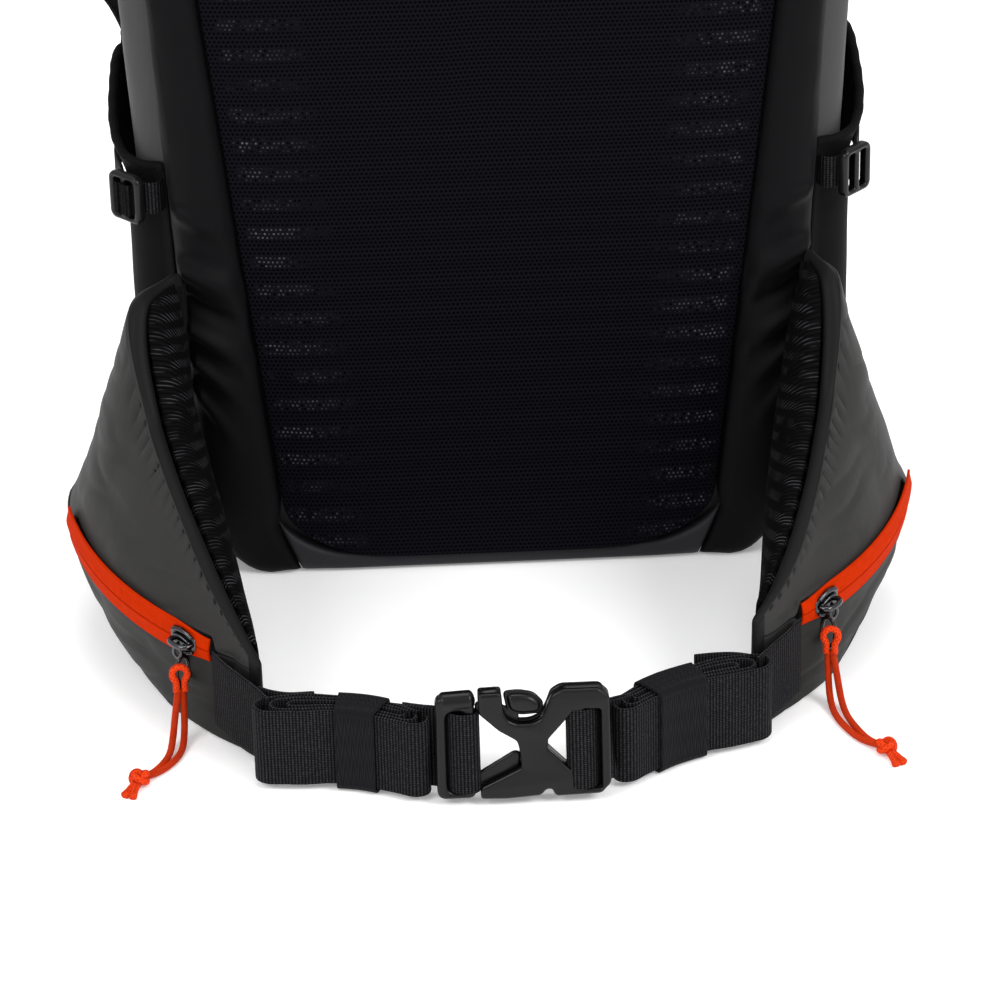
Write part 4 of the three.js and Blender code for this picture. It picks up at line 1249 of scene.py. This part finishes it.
def shoulder_strap(side):
    sign = SIDES[side]
    body = f"strap_{side}"

    def middle(u, v):
        return on_strap(u, (2 * v - 1) * strap_half(u), 0)

    def relief(u, v, spot):
        seam = 1.5 * bump(abs(2 * v - 1), 0.78, 0.09)
        return rumple(spot, 40, 13) * 0.8 - seam

    pad = slab(f"strap_pad_{side}", sided(sign, middle), PAD_THICK * 0.92, 110, 26, relief=relief)
    finished(pad, body, BORDER_CLOTH, "border_fabric", f"shoulder_strap_{side}")

    tail = Path(STRAP_TAIL)

    def tail_middle(u, v):
        across = mix(1, 0.3, ease(u, 0.75, 1)) * (v - 0.5)
        return tail.at(u) + Vector((0, 20 * across, 6 * across))

    webbing = slab(f"strap_tail_{side}", sided(sign, tail_middle), 1.8, 70, 4)
    finished(webbing, body, WEBBING, "webbing", f"strap_webbing_{side}")
    outlines = [outline_box(122, 262, 150, 286, 3)]
    for slot_z in (266, 277.5):
        outlines.append(outline_box(126, slot_z, 146, slot_z + 3.8, 1.2))
    ladder = plate(
        f"strap_ladder_frame_{side}", outlines, 5.4, 1.3, lambda y, depth, z: (sign * (191.3 + depth), y, z),
    )
    finished(ladder, body, PLASTIC, "buckle_plastic", f"strap_ladder_{side}")

    def chest(name, shares, across, low, high):
        def middle(u, v):
            return on_strap(mix(*shares, u), mix(*across, v), (low + high) / 2)
        return slab(f"{name}_{side}", sided(sign, middle), high - low, 16, 6)

    strap = chest("sternum_webbing", (0.56, 0.83), (-28, -11), 7, 9)
    finished(strap, body, WEBBING, "webbing", f"sternum_strap_{side}")
    clip = chest("sternum_clip", (0.81, 0.88), (-30, -9), 6.8, 13)
    finished(clip, body, PLASTIC, "buckle_plastic")


def trigger():
    """The handle under its sleeve on the strap, in the CAD's own place."""
    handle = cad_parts["trigger_handle"]
    painted(handle, HANDLE_PLASTIC)
    soften(handle, 1.2)
    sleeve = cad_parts["trigger_sleeve"]
    copy = bpy.data.objects.new("trigger_sleeve_cloth", sleeve.data.copy())
    bpy.context.collection.objects.link(copy)
    applied(copy, "BEVEL", width=1.6 * MM, segments=3, limit_method="ANGLE", angle_limit=math.radians(40))
    finished(copy, "strap_right", BORDER_CLOTH, "border_fabric", "trigger_sleeve")


def soften(node, width):
    """Rounds the sharp edges of a CAD piece that keeps its own shape."""
    bevel = node.modifiers.new("bevel", "BEVEL")
    bevel.width = width * MM
    bevel.segments = 3
    bevel.limit_method = "ANGLE"
    bevel.angle_limit = math.radians(40)
    bevel.harden_normals = False


for side in SIDES:
    shoulder_strap(side)
trigger()


# ---- Hip wings ----
FIN_THICK = 7.6
FIN_RIM, FIN_RIM_SLOPE = 161, 0.65
ZIP_CENTRE = (16, -3)
ZIP_HEIGHT, ZIP_SLOPE, ZIP_HALF = 60, 0.08, 7
ZIP_TURN = (10, 50.5)
WEBBING_WIDTH, WEBBING_FLOOR = 38, 3
WINGS = {
    "left": {
        "plan": [(147, -3), (165, -32), (161, -60), (140, -120), (127, -148), (115, -170)],
        "radius": 192, "slider": 46, "keeper": (0.3, 0.57),
        "stack": [(43, -209), (57, -200), (72, -193), (97, -189), (115, -189)],
        "tail": [(92, -179.5), (104, -179.5), (112, -176.5), (117, -173)],
        "anchor": [(137.5, -154), (131, -163), (124, -171), (118, -178), (113, -185)],
    },
    "right": {
        "plan": [(146, -3), (153, -32), (150, -60), (132, -118), (120, -142), (106, -160)],
        "radius": 180, "slider": 45.5, "keeper": (0.26, 0.61),
        "stack": [(42, -205), (53, -194), (66, -184), (88, -174), (110, -168)],
        "tail": [(80, -161), (90, -160), (99, -160.5), (106, -163)],
        "anchor": [(130, -145.5), (123.5, -153), (117, -159), (112.5, -163.5), (108, -168)],
    },
}
for wing in WINGS.values():
    for key in ("plan", "stack", "tail", "anchor"):
        wing[key] = Path(wing[key])


def fin_bottom(y):
    return GAP + 0.2 * max(0, y + 110)


def rim_height(y):
    """The fin's top edge: sloping, with a raised and rounded ear at its root."""
    return FIN_RIM + FIN_RIM_SLOPE * y + 23 * ease(y, -66, -28) - 11 * ease(y, -30, -4) - 5 * ease(y, -8, -1)


def fin_ear(u):
    return bump(u, 0.17, 0.2)


def fin_out(u):
    """The fin's middle, out from its plan curve."""
    return 1.2 + 1.6 * fin_ear(u)


def fin_half(u):
    return mix(2.4, FIN_THICK / 2, ease(u, 0.02, 0.14) - ease(u, 0.8, 1)) + 1.0 * fin_ear(u)


def hip_fin(side):
    sign, path = SIDES[side], WINGS[side]["plan"]

    def middle(u, v):
        p = beside(path, u, fin_out(u))
        return Vector((p.x, p.y, mix(fin_bottom(p.y), rim_height(p.y), v)))

    def thick(u, v):
        return 2 * fin_half(u)

    def relief(u, v, spot):
        return rumple(spot, 30, 21) * 0.5

    thickness = thick if sign > 0 else turned(thick)
    fin = slab(f"hip_fin_cloth_{side}", sided(sign, middle), thickness, 90, 30, relief=relief)
    finished(fin, f"wing_{side}", RIM_CLOTH, "border_fabric", f"hip_fin_{side}")


def root_gusset(side):
    """The sleeve of fabric that joins the fin's root to the pack."""
    sign, path = SIDES[side], WINGS[side]["plan"]
    root = path.at(0)

    def middle(u, v):
        spot = beside(path, 0.06 * v, fin_out(0))
        deep = 9 * (1 - min(1, v / 0.4))
        return Vector((spot.x, spot.y + deep, mix(fin_bottom(spot.y) + 4, rim_height(spot.y) - 5, u)))

    gusset = slab(f"root_gusset_{side}", sided(sign, turned(middle)), 6.4, 60, 14, edge=2)
    x = sign * root.x
    start, end = (x, root.y + 4, 80), (x, root.y - 5, 80)
    hinge_cloth(gusset, "pack", f"wing_{side}", start, end, BORDER_CLOTH)


def pad_swell(u, v):
    """Thickness of the pad: fullest towards its root and its rim."""
    along = abs(math.sin(math.pi * clamp(u) ** 0.64)) ** 0.75
    upward = abs(math.sin(math.pi * clamp(v) ** 1.3)) ** 0.5
    return 2 + 21 * along * upward


def hip_pad(side):
    sign, path = SIDES[side], WINGS[side]["plan"]

    def middle(u, v):
        share = mix(0.05, 0.95, u)
        p = beside(path, share, fin_out(share) - fin_half(share) - pad_swell(u, v) / 2)
        return Vector((p.x, p.y, mix(fin_bottom(p.y) + 6, rim_height(p.y) - 1.5, v)))

    def up(spot):
        """Height on the pad, square to its slightly sloping ribs."""
        return spot.z + 0.3 * spot.y

    def relief(u, v, spot):
        return 0.7 * math.sin(2 * math.pi * up(spot) / HIP_RIB)

    swell = turned(pad_swell) if sign > 0 else pad_swell
    pad = slab(
        f"hip_pad_mesh_{side}", sided(sign, turned(middle)), swell, 120, 120, edge=3, relief=relief,
        uv=lambda spot: (spot.y * MM, up(spot) * MM),
    )
    finished(pad, f"wing_{side}", HIP_MESH, "spacer_mesh", f"hip_pad_{side}")


def reach_to_zip(path, share, radius):
    """Distance along the wing's outward normal to the cylinder that the zip lies on."""
    start = beside(path, share, 0)
    way = beside(path, share, 1) - start
    from_centre = start - Vector((*ZIP_CENTRE, 0))
    middle = from_centre.dot(way)
    return math.sqrt(middle**2 + radius**2 - from_centre.length_squared) - middle


def zip_level(spot):
    return ZIP_HEIGHT + ZIP_SLOPE * spot.y


def pocket_swell(u, height, foot, zip_z, rim):
    """How full the pocket is: round at both ends, full at the zip, flat at the rim, part full at its foot."""
    near, far = min(1, u / 0.15), min(1, (1 - u) / 0.06)
    ends = math.sqrt(max(0, (1 - (1 - near) ** 2) * (1 - (1 - far) ** 2)))
    above = max(0, (height - zip_z) / (rim - zip_z))
    below = max(0, (zip_z - height) / (zip_z - foot))
    return ends * (1 - above ** mix(0.8, 1.35, ease(u, 0.05, 0.45)) - 0.38 * below**2)


def pocket_point(wing, u, v):
    """A point of the hip pocket's outer face: u along the wing, v up from its foot to the rim."""
    path = wing["plan"]
    u = clamp(u)
    share = mix(0.07, 0.97, u)
    inner = fin_out(share) + fin_half(share) - 1.4
    reach = max(2, reach_to_zip(path, share, wing["radius"] - 1) - inner)
    root = beside(path, share, 0)
    foot, rim = fin_bottom(root.y) + 0.4, rim_height(root.y) - 1.6
    height = mix(foot, rim, v)
    swell = pocket_swell(u, height, foot, min(zip_level(root), rim - 6), rim)
    p = beside(path, share, inner + mix(0.4, reach, max(0, swell)))
    return Vector((p.x, p.y, height))


def zip_share(wing, u, offset):
    """How far up the pocket's face the zip's edge runs, found by trying."""
    low, high = 0.0, 1.0
    for _ in range(20):
        middle = (low + high) / 2
        spot = pocket_point(wing, u, middle)
        low, high = (middle, high) if spot.z < zip_level(spot) + offset else (low, middle)
    return low


def zip_opening(spot):
    """Half the gap that the zip fills: it closes just past each end of the tape."""
    angle = math.degrees(math.atan2(-(spot.y - ZIP_CENTRE[1]), spot.x - ZIP_CENTRE[0]))
    start, end = ZIP_TURN
    opened = ease(angle, start + 0.4, start + 2.4) * ease(end + 0.8 - angle, 0, 0.8)
    return mix(0.3, ZIP_HALF - 1.2, opened)


def pocket_relief(wing, seed):
    """Slack, fine folds, and the puckers that a tight seam leaves along the rim."""
    def relief(u, v, spot):
        tight = ease(v, 0.8, 0.93) * ease(1 - v, 0, 0.03) * ease(u, 0.1, 0.3)
        gather = math.sin(2 * math.pi * u * wing["plan"].length / 7 + 3 * rumple((spot.x, spot.y, 5), 26))
        puckers = -2.4 * max(0, gather) ** 3 * tight
        slack = rumple((spot.x, spot.y, spot.z * 1.4), 36, seed) * 1.5
        folds = crease((spot.x * 0.5, spot.y * 0.5, spot.z * 1.5), 20, seed + 4) * 0.8
        return (puckers + slack - folds) * math.sin(math.pi * clamp(u)) ** 0.4
    return relief


def hip_pocket(side):
    sign, wing = SIDES[side], WINGS[side]
    columns = 96
    edges = []
    for i in range(columns + 1):
        u = i / columns
        half = zip_opening(pocket_point(wing, u, zip_share(wing, u, 0)))
        edges.append((zip_share(wing, u, -half), zip_share(wing, u, half)))

    def edge(u, k):
        spot = clamp(u) * columns
        i = min(columns - 1, int(spot))
        return mix(edges[i][k], edges[i + 1][k], spot - i)

    def upper(u, v):
        return pocket_point(wing, u, mix(edge(u, 1), 1.0, v))

    def lower(u, v):
        return pocket_point(wing, u, mix(0.0, edge(u, 0), v))

    def panel(name, middle, relief, look):
        def facing(u, v, spot):
            return relief(1 - u if sign > 0 else u, v, spot)

        surface = sided(sign, turned(middle))
        piece = slab(f"hip_pocket_{name}_cloth_{side}", surface, 2.2, 110, 70, relief=facing)
        finished(piece, f"wing_{side}", look, f"pocket_{name}", f"hip_pocket_{name}_{side}")

    upper_shape, lower_shape = pocket_relief(wing, 31), pocket_relief(wing, 47)

    def upper_relief(u, v, spot):
        return ease(v, 0.0, 0.14) * upper_shape(u, v, spot)

    def lower_relief(u, v, spot):
        return ease(1 - v, 0.05, 0.3) * lower_shape(u, v * 0.3, spot)

    panel("upper", upper, upper_relief, UPPER_CLOTH)
    panel("lower", lower, lower_relief, LOWER_CLOTH)


def on_zip(side, angle, radius, height):
    """A point in the zip's tilted frame: angle round its centre in degrees, radius, height off its plane."""
    turn = math.radians(angle)
    spot = Vector((radius * math.cos(turn), -radius * math.sin(turn), height))
    spot = Matrix.Rotation(math.atan(ZIP_SLOPE), 3, "X") @ spot
    x, y = ZIP_CENTRE
    return Vector((SIDES[side] * (spot.x + x), spot.y + y, spot.z + ZIP_HEIGHT + ZIP_SLOPE * y))


def hip_zip(side):
    radius = WINGS[side]["radius"]

    def tape(low, high, name):
        def place(u, v):
            height = mix(low, high, v) * mix(1, 0.68, ease(u, 0.82, 1.0))
            bulge = 1.2 * bump(height, 0, 7)
            return on_zip(side, mix(ZIP_TURN[0] + 0.6, ZIP_TURN[1], u), radius + bulge + 0.3, height)
        return applied(sheet_of(name, 120, 8, place), "SOLIDIFY", thickness=1.2 * MM, offset=0)

    halves = [tape(0.35, ZIP_HALF + 1.5, "upper_tape"), tape(-ZIP_HALF - 1.5, -0.35, "lower_tape")]
    tapes = joined(f"hip_zip_tape_{side}", halves)
    finished(tapes, f"wing_{side}", ZIP_TAPE, "zip_orange", f"hip_zip_{side}")
    line = [on_zip(side, mix(ZIP_TURN[0], ZIP_TURN[1] - 0.5, i / 60), radius + 0.9, 0) for i in range(61)]
    finished(tube(f"hip_zip_coil_{side}", line, 0.8, 120, 8), f"wing_{side}", ZIP_COIL, "zip_orange")


def zip_slider(side):
    wing = WINGS[side]
    radius, parked = wing["radius"], wing["slider"]
    across = math.degrees(1 / radius)  # degrees in a millimetre

    def place(a, b, c):
        """a along the zip from the slider's middle, b up across it, c out from the tape."""
        return on_zip(side, parked + a * across, radius + c, b)

    def layer(name, outline, out, thick, edge):
        return plate(name, [rounded_corners(outline, 1.6)], thick, edge, lambda a, c, b: place(a, b, out + c))

    def wire(name, spots, thick, steps, sides):
        return tube(name, [place(*spot) for spot in spots], thick, steps, sides)

    def flange(name, way):
        return wire(name, [(a, way * (5.6 - 0.05 * a * a), 2.6) for a in (-6, -3, 0, 3, 6)], 1.0, 20, 8)

    upper_edge = [(-7.5, 2.4), (-6.5, 5.6), (-1, 6.6), (5.5, 4.2), (8, 2.4)]
    shield = upper_edge + [(a, -b) for a, b in reversed(upper_edge)]
    crown = [(a * 0.72, b * 0.62) for a, b in shield]
    bridge = [(-5.4, 0, 2.6), (-4.6, 0, 6.0), (0, 0, 7.2), (4.8, 0, 6.0), (5.8, 0, 2.6)]
    bail = [(-1.8, -1, 5.0), (-2.2, -5, 6.2), (0, -7.4, 6.0), (2.2, -5, 6.2), (1.8, -1, 5.0)]
    slider = joined(f"slider_body_{side}", [
        layer("shield", shield, 1.6, 2.0, 0.7),
        layer("crown", crown, 3.4, 1.8, 0.6),
        wire("bridge", bridge, 1.3, 24, 10),
        flange("near_flange", 1),
        flange("far_flange", -1),
        wire("bail", bail, 0.8, 24, 8),
    ])
    finished(slider, f"slider_{side}", GUNMETAL, "zip_metal", f"zip_slider_{side}")

    low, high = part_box(f"zip_puller_{side}")
    centre = ((low + high) / 2 - at(0, 0, 0)) / MM
    long = (high.z - low.z) / MM / 2 - 0.9
    turn = math.radians(parked)
    way = Vector((SIDES[side] * math.cos(turn), -math.sin(turn), 0))
    ring = []
    for i in range(48):
        angle = 2 * math.pi * i / 48
        ring.append(centre + way * 3.9 * math.sin(angle) + Vector((0, 0, long * math.cos(angle))))
    puller = curve_of(f"puller_ring_{side}", ring, 0.95, cyclic=True)
    finished(puller, f"puller_{side}", WIRE_METAL, "wire_metal", f"zip_puller_{side}")


def belt_webbing(side):
    sign, wing = SIDES[side], WINGS[side]
    stack, tail = wing["stack"], wing["tail"]

    def stack_half(u):
        """Half the folded bundle's thickness: a lobe on each side of the keeper."""
        return 5.8 + 0.8 * ease(u, 0.1, 0.3) + 1.4 * bump(u, 0.78, 0.2)

    def turned_end(share, inset, way_sign, sweep):
        """Points round one end of the bundle."""
        way = stack.way(share) * way_sign
        middle = stack.at(share)
        radius = stack_half(share) * inset
        across = Vector((-way.y, way.x, 0))
        return [
            middle + across * radius * math.cos(angle) + way * radius * 1.3 * math.sin(angle)
            for angle in (sweep * i / 8 for i in range(1, 8))
        ]

    def run(start, end, inset):
        """Points along one face of the bundle, in front for a negative inset."""
        shares = [mix(start, end, i / 14) for i in range(15)]
        return [beside(stack, share, stack_half(share) * inset) for share in shares]

    def turn_of(start, end, inset):
        """One turn of the folded webbing: along its rear, round the end, back in front and curled in."""
        path = Path([
            *run(start, end, inset), *turned_end(end, inset, 1, math.pi),
            *run(end, start, -inset), *turned_end(start, inset, -1, 2.6),
        ])

        def middle(u, v):
            spot = path.at(u)
            slack = 0.5 * rumple((spot.x, spot.y, 9 * inset), 24)
            return Vector((spot.x, spot.y, WEBBING_FLOOR + WEBBING_WIDTH * v + slack))

        return slab("fold", sided(sign, middle), 1.7, 190, 4)

    def straight(path, lift):
        """Webbing along a plan path, its foot raised by lift at the start and at the end."""
        def middle(u, v):
            spot = path.at(u)
            return Vector((spot.x, spot.y, WEBBING_FLOOR + mix(*lift, u) + WEBBING_WIDTH * v))
        return sided(sign, middle)

    webbing = joined(f"belt_webbing_folds_{side}", [
        turn_of(0.1, 0.94, 1.0),
        turn_of(0.14, 0.88, 0.64),
        turn_of(0.18, 0.82, 0.28),
        slab("rear", straight(tail, (0, 0)), 2.2, 30, 4),
        slab("anchor", straight(wing["anchor"], (8, 1)), 1.8, 40, 6),
        bar_wrap(side),
    ])
    finished(webbing, f"wing_{side}", WEBBING, "webbing", f"belt_webbing_{side}")

    def sleeve(u, v):
        """v once round the folded webbing, u along it."""
        share = mix(*wing["keeper"], v)
        half, corner = 8.6, 3.0
        ring = outline_box(-half, 1.0, half, WEBBING_FLOOR + WEBBING_WIDTH + 1.2, corner)
        i = int(u * len(ring))
        between = u * len(ring) - i
        (a, z0), (b, z1) = ring[i % len(ring)], ring[(i + 1) % len(ring)]
        p = beside(stack, share, mix(a, b, between))
        return Vector((sign * p.x, p.y, mix(z0, z1, between)))

    keeper = sheet_of(f"keeper_elastic_{side}", 112, 24, sleeve, closed=True)
    keeper = faced_out(applied(keeper, "SOLIDIFY", thickness=1.1 * MM, offset=0))
    finished(keeper, f"wing_{side}", ELASTIC, "elastic", f"belt_keeper_{side}")


# ---- Buckle: drawn with x from the male half's outer bar and z from the buckle's lower edge ----
BUCKLE_LEFT, BUCKLE_FRONT, BUCKLE_LEAN = -39, -219, 10
BUCKLE_LENGTH, BUCKLE_HEIGHT, BUCKLE_THICK = 77.5, 50, 12


def on_buckle(x, depth, z):
    """A point of the buckle, depth behind its middle."""
    spot = Matrix.Rotation(-math.radians(BUCKLE_LEAN), 3, "X") @ Vector((x, depth - BUCKLE_THICK / 2, z))
    return spot + Vector((BUCKLE_LEFT, BUCKLE_FRONT + BUCKLE_THICK, GAP + 2))


def bar_wrap(side):
    """The end of the webbing: behind the outer bar, round the inner one and back through the slot."""
    round_bar = [
        (0, 6.2), (6, 5.6), (13, 5.4), (17.6, 3.8), (18.8, 0),
        (17.4, -4.2), (12.5, -5.4), (8, -3.6), (5.6, 0.6), (1, 8.0),
    ]
    if side == "left":
        route = [(-24, 17), (-12, 11.5), (-5, 8.2), *round_bar, (-6, 11.0), (-14, 15)]
    else:
        route = [(-26, 22), (-16, 16), (-8, 10.5), *round_bar, (-7, 13), (-15, 19)]
        route = [(BUCKLE_LENGTH - x, depth) for x, depth in route]
    path = Path(route)

    def middle(u, v):
        spot = path.at(u)
        return on_buckle(spot.x, spot.y, mix(2.8, 40.2, v))

    return slab("bar_wrap", middle if side == "left" else turned(middle), 1.7, 90, 5)


def moulding(name, outlines, thick, depth=0.0, edge=1.0, corner=1.6):
    """A flat moulded part of the buckle, from an outline and its holes."""
    return plate(name, [rounded_corners(o, corner) for o in outlines], thick, edge,
                 lambda x, out, z: on_buckle(x, depth - out, z))


def bar(name, start, end, radius):
    """A round-ended bar between two (x, z) points."""
    spots = [on_buckle(mix(start[0], end[0], k / 6), 0, mix(start[1], end[1], k / 6)) for k in range(7)]
    long = (spots[-1] - spots[0]).length

    def rounded(share):
        inside = min(share, 1 - share) * long
        return radius * math.sqrt(max(0.02, 1 - (1 - min(1, inside / (radius * 0.6))) ** 2))

    return tube(name, spots, rounded, 40, 20)


def box_outline(x0, z0, x1, z1):
    return [(x0, z0), (x1, z0), (x1, z1), (x0, z1)]


def buckle_male():
    outlines = [box_outline(0, -0.2, 17.4, 48), box_outline(4.6, 2.8, 13.2, 41)]
    half = joined("buckle_male_half", [
        moulding("male_frame", outlines, 8, edge=1.8, corner=4),
        bar("male_top", (1.2, 44.6), (18, 45.4), 4.7),
    ])
    finished(half, "wing_left", PLASTIC, "buckle_plastic", "buckle_male")


def buckle_female():
    left, right = 19.2, BUCKLE_LENGTH
    face = [
        (left, 49.4), (29.6, 49.6), (30.2, 41), (32.4, 36.6), (37, 34.6), (42, 34.6), (46.6, 36.6),
        (49.4, 42), (51.5, 47.6), (56, 50.2), (73, 50.2), (right, 46), (right, 5), (73, 0.3), (52.6, -0.2),
        (51, 3.2), (48.6, 3.2), (46, 0.4), (31, -0.6), (left, -0.2), (left, 5.2), (37.6, 14), (37, 22.4),
        (36, 26.6), (28, 31.6), (left, 40),
    ]
    triangle = [(61.6, 40), (49.4, 26.4), (49.4, 22.4), (62, 9.6)]
    slot = box_outline(65.5, 2.8, 73.4, 40.4)
    behind = [
        (49.8, 43), (56, 50), (73, 50), (right, 46), (right, 5), (73, 0.3), (53, 0),
        (49.8, 6), (48.9, 20), (48.9, 30),
    ]
    half = joined("buckle_female_half", [
        moulding("front_face", [face, triangle, slot], 4.0, depth=-3.4, edge=1.5),
        moulding("rear_face", [face, triangle, slot], 3.2, depth=3.6),
        moulding("core", [behind, triangle, slot], 4.2, edge=0.2),
        moulding("arm_wall", [box_outline(left, 48.2, 29.4, 49.6)], 4.2, edge=0.2, corner=0.3),
        moulding("spine", [box_outline(38.4, 22, 49.9, 27)], 4.2, edge=0.2, corner=0.3),
        bar("arm_cap", (left + 0.2, 45.6), (29.8, 46.4), 4.8),
        bar("shoulder", (55.5, 46), (75.6, 46.2), 5.2),
    ])
    finished(half, "wing_right", PLASTIC, "buckle_plastic", "buckle_female")


def buckle_prong(side):
    """A spring arm that ends in the shoulder that fingers squeeze."""
    upper = side == "upper"
    arm = [(17.8, 10.6), (17.8, 5.8), (24, 5.0), (37, 10.5), (37.6, 20), (34.6, 20.6)]
    shoulder = [(30.2, 1.2), (32, 10.6), (38, 12.6), (47.4, 12), (48.6, 7), (44, 2.0), (37, 0.6)]
    if upper:
        arm = [(x, BUCKLE_HEIGHT - z) for x, z in reversed(arm)]
        shoulder = [(x, BUCKLE_HEIGHT - z) for x, z in reversed(shoulder)]
    parts = [
        moulding("arm", [arm], 2.4, depth=0.3),
        moulding("lip", [shoulder], 2.4, depth=0.3, edge=0.8, corner=2.4),
    ]
    if upper:
        middle_z = sum(z for _, z in shoulder) / len(shoulder)
        dome = [(mix(39.5, x, 0.86), mix(middle_z, z, 0.8)) for x, z in shoulder]
        parts.append(moulding("dome", [dome], 7.0, edge=2.6, corner=3))
    prong = joined(f"buckle_prong_{side}_arm", parts)
    finished(prong, f"prong_{side}", PLASTIC, "buckle_plastic", f"buckle_prong_{side}")


for side in SIDES:
    hip_fin(side)
    root_gusset(side)
    hip_pad(side)
    hip_pocket(side)
    hip_zip(side)
    zip_slider(side)
    belt_webbing(side)
buckle_male()
buckle_female()
buckle_prong("upper")
buckle_prong("lower")


# ---- Hidden pieces and hardware that keep their CAD shape ----
def dress(name, material, edge=0.5):
    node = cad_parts[name]
    painted(node, material)
    soften(node, edge)


dress("frame_sheet", SHEET_PLASTIC, 0.4)
dress("frame_stay", STAY_METAL, 0.6)
dress("gas_cartridge", CARTRIDGE_PAINT, 0.8)
dress("trigger_head", HEAD_METAL, 0.6)
dress("inflation_hose", HOSE_RUBBER, 0.4)
dress("trigger_cable", HOSE_RUBBER, 0.3)
dress("main_zip_slider", GUNMETAL, 0.8)
dress("airbag_folded", AIRBAG_CLOTH, 3)


# ---- Studio ----
def studio():
    world = bpy.data.worlds.new("studio")
    world.use_nodes = True
    sky = world.node_tree.nodes["Background"]
    sky.inputs["Color"].default_value = (1, 1, 1, 1)
    sky.inputs["Strength"].default_value = 0.8
    bpy.context.scene.world = world
    far = 9000
    corners = [(-far, -far, 0), (far, -far, 0), (far, far, 0), (-far, far, 0)]
    floor = made("floor", corners, [(0, 1, 2, 3)], smooth=False)
    floor.data.materials.append(floor_look())

    def lamp(name, where, size, power):
        """A round lamp, in metres and watts, that looks at the lower part of the pack."""
        light = bpy.data.lights.new(name, "AREA")
        light.shape = "DISK"
        light.size = size
        light.energy = power
        thing = bpy.data.objects.new(name, light)
        thing.location = where
        thing.rotation_mode = "QUATERNION"
        thing.rotation_quaternion = (Vector((0, 0, 0.2)) - Vector(where)).to_track_quat("-Z", "Y")
        bpy.context.collection.objects.link(thing)

    lamp("key", (1.7, -1.3, 2.0), 1.2, 40)
    lamp("fill", (-1.6, -1.4, 2.0), 1.4, 29)
    lamp("top", (0, 0.6, 2.6), 1.6, 26)
    bpy.context.scene.view_settings.view_transform = "Standard"


studio()
